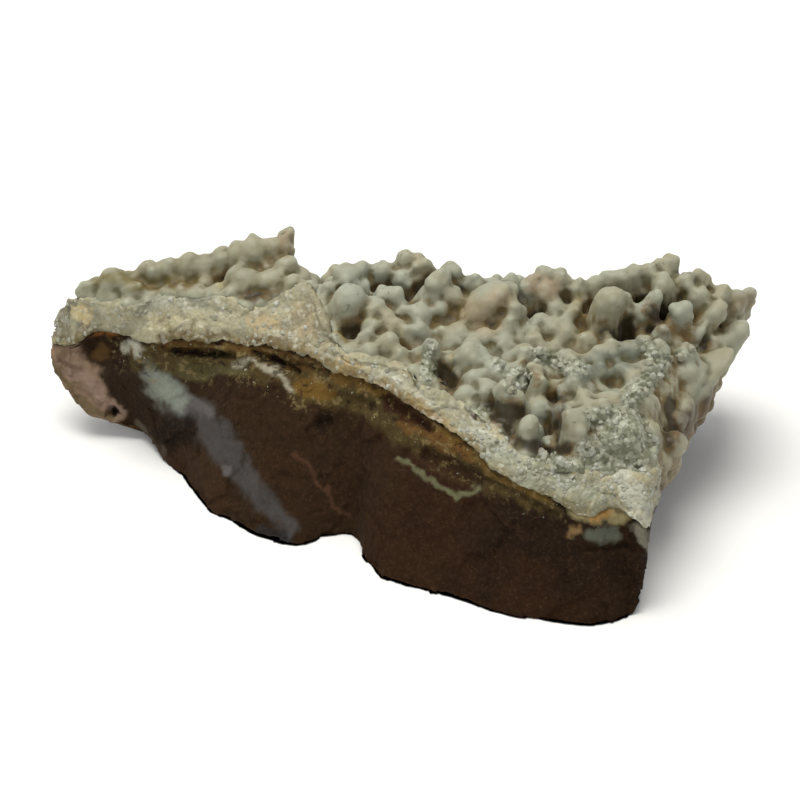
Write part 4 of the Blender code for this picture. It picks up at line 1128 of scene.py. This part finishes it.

# %% [markdown]
# Chalcedony is waxy and lets some light in. It is grey-green on the tips, warmer and browner between the
# knobs, where iron has stained it, and here and there it is coated with fine quartz. Light and shade are
# painted into its colour as well: the knobs' caps are painted paler as highlight, the creases between them
# darker, and the deepest places dark brown, as shade. How deep a point lies is measured against the crust
# round it, how much it stands out against its own neighbours, and both are kept on the mesh for the shader.

# %% Colours of the fingers
# Colours laid over the fingers: (line, softness, tone, strength). Most are stains and pale or tan patches.
# The dark brown ones are painted shade: the hollow near (-27, 38), the hollows and stems between (5, 12) and
# (39, 33), and the right flank near (42..53, 3..20).
FINGER_STAINS_AND_SHADE = (
    (((-9, 40, 2.4), (-1, 40, 3.4), (3.5, 37, 3.0), (2.5, 31, 2.0)), 3.5, (150, 154, 140), 0.6),
    (((-52, 40.5, 3.0), (-40, 42, 3.0), (-28, 43.5, 3.4)), 4.0, (112, 105, 76), 0.45),
    (((-45.6, 40.6, 1.3), (-41, 40.8, 1.4), (-37, 40.4, 1.1)), 1.6, (88, 74, 26), 0.92),
    (((-43, 39.4, 0.9), (-36.6, 39.4, 0.9)), 1.4, (106, 86, 42), 0.8),
    (((-53, 42.0, 1.0), (-49, 41.6, 1.2), (-46.5, 41.2, 1.2)), 1.6, (108, 94, 42), 0.75),
    (((-11, 31.8, 1.6),), 2.0, (122, 96, 38), 0.8),
    (((-32, 39.6, 1.2),), 1.0, (150, 140, 96), 0.7),
    # Painted shade in the hollow behind the left crest.
    (((-27, 38.4, 2.2), (-23.2, 38.2, 1.9)), 1.8, (62, 50, 22), 0.9),
    (((-20.4, 49.0, 1.2), (-20.8, 46.6, 1.2)), 1.2, (134, 114, 84), 0.6),
    (((10, 36, 2.4), (14, 34.6, 3.0), (16, 38, 2.2)), 3.0, (160, 138, 106), 0.5),
    (((22, 41, 1.6), (26, 41, 1.6), (24, 38.6, 1.8)), 2.0, (138, 114, 82), 0.6),
    (((30, 38.0, 1.0), (29.5, 36.6, 0.9)), 1.2, (122, 108, 62), 0.65),
    (((8, 28.2, 0.6),), 0.7, (164, 152, 112), 0.7),
    (((57, 37, 1.6), (60, 38, 1.2)), 1.8, (122, 104, 74), 0.7),
    (((44, 34, 1.4), (49, 31, 1.2)), 1.6, (110, 86, 56), 0.6),
    # This row and the next five are painted shade in dark hollows, on stems and on the right flank.
    (((38.5, 32.6, 1.2),), 1.2, (52, 36, 20), 0.8),
    (((15, 18, 2.0), (18, 14, 1.6)), 1.6, (40, 29, 16), 0.9),
    (((18.5, 13.2, 1.4), (24, 11.6, 1.5), (28, 12.0, 1.2)), 1.4, (44, 34, 20), 0.85),
    (((25.5, 20.0, 1.0), (26.6, 16.0, 1.0)), 1.2, (60, 46, 28), 0.7),
    (((5.6, 26.4, 1.2), (8, 24, 1.6), (7, 22, 1.2)), 1.2, (46, 38, 24), 0.85),
    (((45.5, 13.5, 1.4), (49, 17, 2.4), (53, 20, 2.0)), 2.0, (72, 54, 38), 0.9),
    (((31, 25.5, 2.0), (40, 29, 2.0)), 2.4, (94, 98, 84), 0.85),
    (((5.4, 39.5, 1.6), (2, 31, 1.8)), 2.0, (142, 142, 124), 0.7),
    (((52.5, 16.5, 0.7),), 0.8, (140, 88, 46), 0.8),
    # Painted shade on the right flank.
    (((42.5, 10, 1.4), (44.5, 3, 1.6)), 2.0, (74, 56, 40), 0.6),
)
# Places that are coated with quartz druse: the same kind of stroke.
DRUSE = (
    ((22.2, 28.6, 1.3), (26, 27.2, 1.5), (30, 26.0, 1.2)), ((41.5, 29.6, 1.2), (44.6, 28.2, 1.8)),
    ((47.5, 27.8, 0.8), (50.4, 29.4, 0.8)), ((43, 26, 1.8), (40, 22, 2.2), (38.5, 19.5, 2.0)),
    ((33, 17.5, 2.2), (38, 16, 4.0), (41, 12.5, 2.6)), ((33, 11.5, 3.4), (38, 9.5, 3.4)),
    ((24.5, 9.5, 2.0), (29, 7.5, 2.6)), ((16, 26.6, 1.2), (20.6, 24.6, 1.6), (18, 22.6, 1.4)),
    ((4.4, 29.6, 1.2), (4.0, 25.4, 1.4)), ((9.4, 18.4, 1.4), (13.4, 18.6, 1.4)),
    ((-10.6, 36.4, 0.5), (-9.8, 37.4, 0.4)),
)
# Painted shade: strokes between the fingers where the colour is made dark, because these places lie in shade.
PAINTED_SHADE_STROKES = (
    ((15.5, 18.5, 2.2), (19.5, 19.4, 1.6)), ((16.4, 17.0, 2.0), (17.4, 14.6, 1.8), (18.4, 12.6, 1.3)),
    ((24, 11.4, 1.2), (28, 12.0, 1.0)), ((5.6, 26.4, 1.4), (8, 24, 1.9), (7, 22, 1.4)),
    ((38.5, 32.6, 1.6),), ((-27, 37.4, 1.8), (-23, 37.8, 1.6)), ((27, 21, 1.0), (26.6, 16, 1.0)),
    ((20.5, 26.6, 0.8), (22.6, 24.0, 1.0)), ((-13.8, 34.6, 0.8),), ((41.8, 37.0, 1.2), (43.6, 34.4, 1.2)),
    ((45.6, 20, 1.4), (46, 14, 1.4)),
)
GREY_GREEN, WARM_GREY = (143, 144, 126), (143, 136, 110)
for mesh in finger_meshes:
    points = points_of(mesh)
    normals = normals_of(mesh)
    frayed = wandering(points, 2.0, 0.8, 71)
    druse = np.max([stroke(frayed, line, 1.0) for line in DRUSE], axis=0)
    points = kept_behind(points)
    points += normals * (0.10 * clouds(points, 2.0, 73) + 0.22 * (bubbles(points, 2.1, 83) - 0.4)
                         + druse * (0.34 * shards(points, 1.6, 75) + 0.12 * shards(points, 0.7, 76)))[:, None]
    move_points(mesh, points)
    # How deep each point lies below the crust round it: the shader paints the deepest places dark brown as
    # shade, and the shallower ones with iron stain.
    low = np.clip((sky_level(points) - points[:, 2] - 0.4) / 3.4, 0, 1)
    low *= 1 - 0.65 * np.clip((1.0 - depth_inside(points)) / 1.5, 0, 1)
    # Painted shade: these strokes raise the depth, so that the shader paints them dark too.
    painted_shade = np.max([stroke(frayed, line, 1.6) for line in PAINTED_SHADE_STROKES], axis=0)
    low = np.maximum(low, painted_shade * np.clip(0.95 - (points[:, 2] - sky_level(points) + 0.5) / 3, 0, 1))
    broken = np.clip((1.9 - depth_inside(points)) / 1.2, 0, 1) * np.clip(0.6 - 2 * normals[:, 1], 0, 1)
    broken *= points[:, 0] < 42
    mottled = np.clip(0.5 + 1.0 * clouds(points, 11, 77) + 0.7 * clouds(points, 4, 78), 0, 1)
    colour = blended(np.array(paint(*GREY_GREEN)), WARM_GREY, mottled)
    store(mesh, "tone", blended(painted_over(colour, frayed, FINGER_STAINS_AND_SHADE, 1.0), BAND_CREAM, broken))
    store(mesh, "low", low)
    # How far each point stands out from its neighbours: the shader paints the caps that stand out paler as
    # highlight and the creases darker as shade.
    stands_out = ((points - averaged(mesh, points, 10)) * normals).sum(1)
    store(mesh, "swell", np.clip(0.5 + stands_out / 1.1, 0, 1))
    store(mesh, "druse", np.maximum(druse, 0.35 * broken))

chalcedony = Recipe("grey-green finger chalcedony", IOR=1.54, Specular_IOR_Level=0.3, Coat_Roughness=0.3,
                    Subsurface_Weight=0.5, Subsurface_Scale=0.0013, Subsurface_Radius=(0.85, 0.9, 0.72),
                    Sheen_Weight=0.12, Sheen_Roughness=0.4, Sheen_Tint=(0.75, 0.78, 0.70, 1))
tone = chalcedony.painted("tone")
low, swell, druse = chalcedony.mask("low"), chalcedony.mask("swell"), chalcedony.mask("druse")
stain = low.between(0.04, 0.45) * chalcedony.noise(3.0, 4).between(0.34, 0.58)
# Painted highlight on the caps that stand out, and painted shade in the creases between the knobs.
tone = chalcedony.mix(swell.between(0.52, 0.80) * 0.55, tone, paint(158, 160, 142))
tone = chalcedony.mix((1 - swell).between(0.50, 0.72) * 0.80, tone, paint(76, 70, 36))
tone = chalcedony.mix(stain * 0.75, tone, paint(104, 82, 38))
# Painted shade: the deepest places between the knobs are made dark brown.
tone = chalcedony.mix(low.between(0.40, 1.0) * 0.85, tone, paint(44, 35, 15))
tone = chalcedony.mix(chalcedony.noise(0.9, 2).between(0.68, 0.74) * 0.5, tone, paint(76, 56, 32))
sugar = chalcedony.grain_numbers(0.9)
white_grain = chalcedony.mix(sugar.between(0.3, 0.8), paint(100, 103, 80), paint(156, 158, 138))
tone = chalcedony.mix(druse * 0.75, tone, white_grain)
height = chalcedony.noise(0.6, 3) * 0.25 + chalcedony.noise(0.16, 2) * 0.06
height = height + druse * chalcedony.grains(0.8) * -0.8
fingers_finish = chalcedony.finish(
    Base_Color=tone, Roughness=0.60 - 0.12 * chalcedony.noise(1.2, 3).between(0.4, 0.7) - 0.2 * druse,
    Coat_Weight=0.35 * druse, Normal=chalcedony.bumps(height, 0.3, 0.5))
for mesh in finger_meshes:
    make_piece(mesh, fingers_finish, "crust")

# %% [markdown]
# ## Quartz grains
# What sparkles on the broken edge and the druse are about a thousand tiny crystals. Each grain here is a
# short six-sided prism with a blunt point, 24 triangles, stretched and turned at random and half sunk in
# the surface, and all of them together are one mesh. They are a little see-through, as clouded quartz is.

# %% Grains on the broken edge and the druse
ANGLES = np.arange(6) * math.pi / 3
RINGS = [(0.62 * math.cos(a), 0.62 * math.sin(a), -0.5) for a in ANGLES] + [
    (0.68 * math.cos(a), 0.68 * math.sin(a), 0.35) for a in ANGLES]
UNIT_GRAIN = np.array([(0, 0, -0.8), *RINGS, (0, 0, 0.95)])
here = np.arange(6)
beyond = (here + 1) % 6
UNIT_FACES = np.concatenate([np.stack(corners, 1) for corners in (
    (here * 0, 1 + beyond, 1 + here), (1 + here, 1 + beyond, 7 + beyond),
    (1 + here, 7 + beyond, 7 + here), (7 + here, 7 + beyond, here * 0 + 13))])


def grains_on(places, normals, sizes, chance):
    """Six-sided grains: the unit crystal, stretched and scaled, in a frame of its own near the normal."""
    count = len(places)
    unit = UNIT_GRAIN * chance.uniform(0.75, 1.25, (count, 1, 3)) * sizes[:, None, None]
    axis = normals + chance.normal(0, 0.7, (count, 3))
    axis /= np.linalg.norm(axis, axis=1)[:, None]
    side = np.cross(axis, chance.normal(0, 1, (count, 3)))
    side /= np.linalg.norm(side, axis=1)[:, None]
    frames = np.stack((side, np.cross(axis, side), axis), 1)
    return places[:, None] - 0.3 * (normals * sizes[:, None])[:, None] + unit @ frames


def spread_over(mesh, weights, count, chance):
    """Points of the mesh picked by weight, and their normals."""
    picked = chance.choice(len(weights), count, replace=False, p=weights / weights.sum())
    return points_of(mesh)[picked], normals_of(mesh)[picked]


BAND_GRAINS, MOST_DRUSE_GRAINS, DRUSE_SHARE = 600, 300, 0.03
chance = np.random.default_rng(23)
in_band = (row > RIM_ROW) & (row <= CREST_ROW + 2)
band_weight = in_band * np.clip(0.35 + clouds(slab_points, 5, 81), 0.05, 1)
band_weight = band_weight * np.where(slab_points[:, 0] > 10, 3, 1)
places, normals = spread_over(slab_mesh, band_weight, BAND_GRAINS, chance)
crystals = [grains_on(places, normals, chance.uniform(0.42, 0.92, len(places)) ** 2, chance)]
for mesh in finger_meshes:
    druse = read(mesh.attributes["druse"].data, "value", 1)[:, 0]
    weights = np.clip(druse - 0.4, 0, 1).astype(float)
    count = min(int((weights > 0).sum() * DRUSE_SHARE), MOST_DRUSE_GRAINS)
    if count:
        places, normals = spread_over(mesh, weights, count, chance)
        crystals.append(grains_on(places, normals, chance.uniform(0.65, 1.15, count) ** 2, chance))
crystals = np.concatenate(crystals)
grain_mesh = mesh_of("quartz_grains", crystals.reshape(-1, 3), (
    UNIT_FACES + len(UNIT_GRAIN) * np.arange(len(crystals))[:, None, None]).reshape(-1, 3))
clear_quartz = Recipe("small clear quartz", IOR=1.54, Transmission_Weight=0.15)
clouded = clear_quartz.noise(3.0, 3).between(0.4, 0.65)
tint = clear_quartz.mix(clouded, paint(168, 168, 152), paint(146, 143, 120))
quartz_finish = clear_quartz.finish(Base_Color=tint, Roughness=0.3 + 0.4 * clear_quartz.noise(0.5, 2))
make_piece(grain_mesh, quartz_finish, "crust")
grain_mesh.shade_flat()

# %% [markdown]
# ## The last line
# The dressed stone has to keep the size of the imported solids.

# %% Finish
bpy.context.view_layer.update()
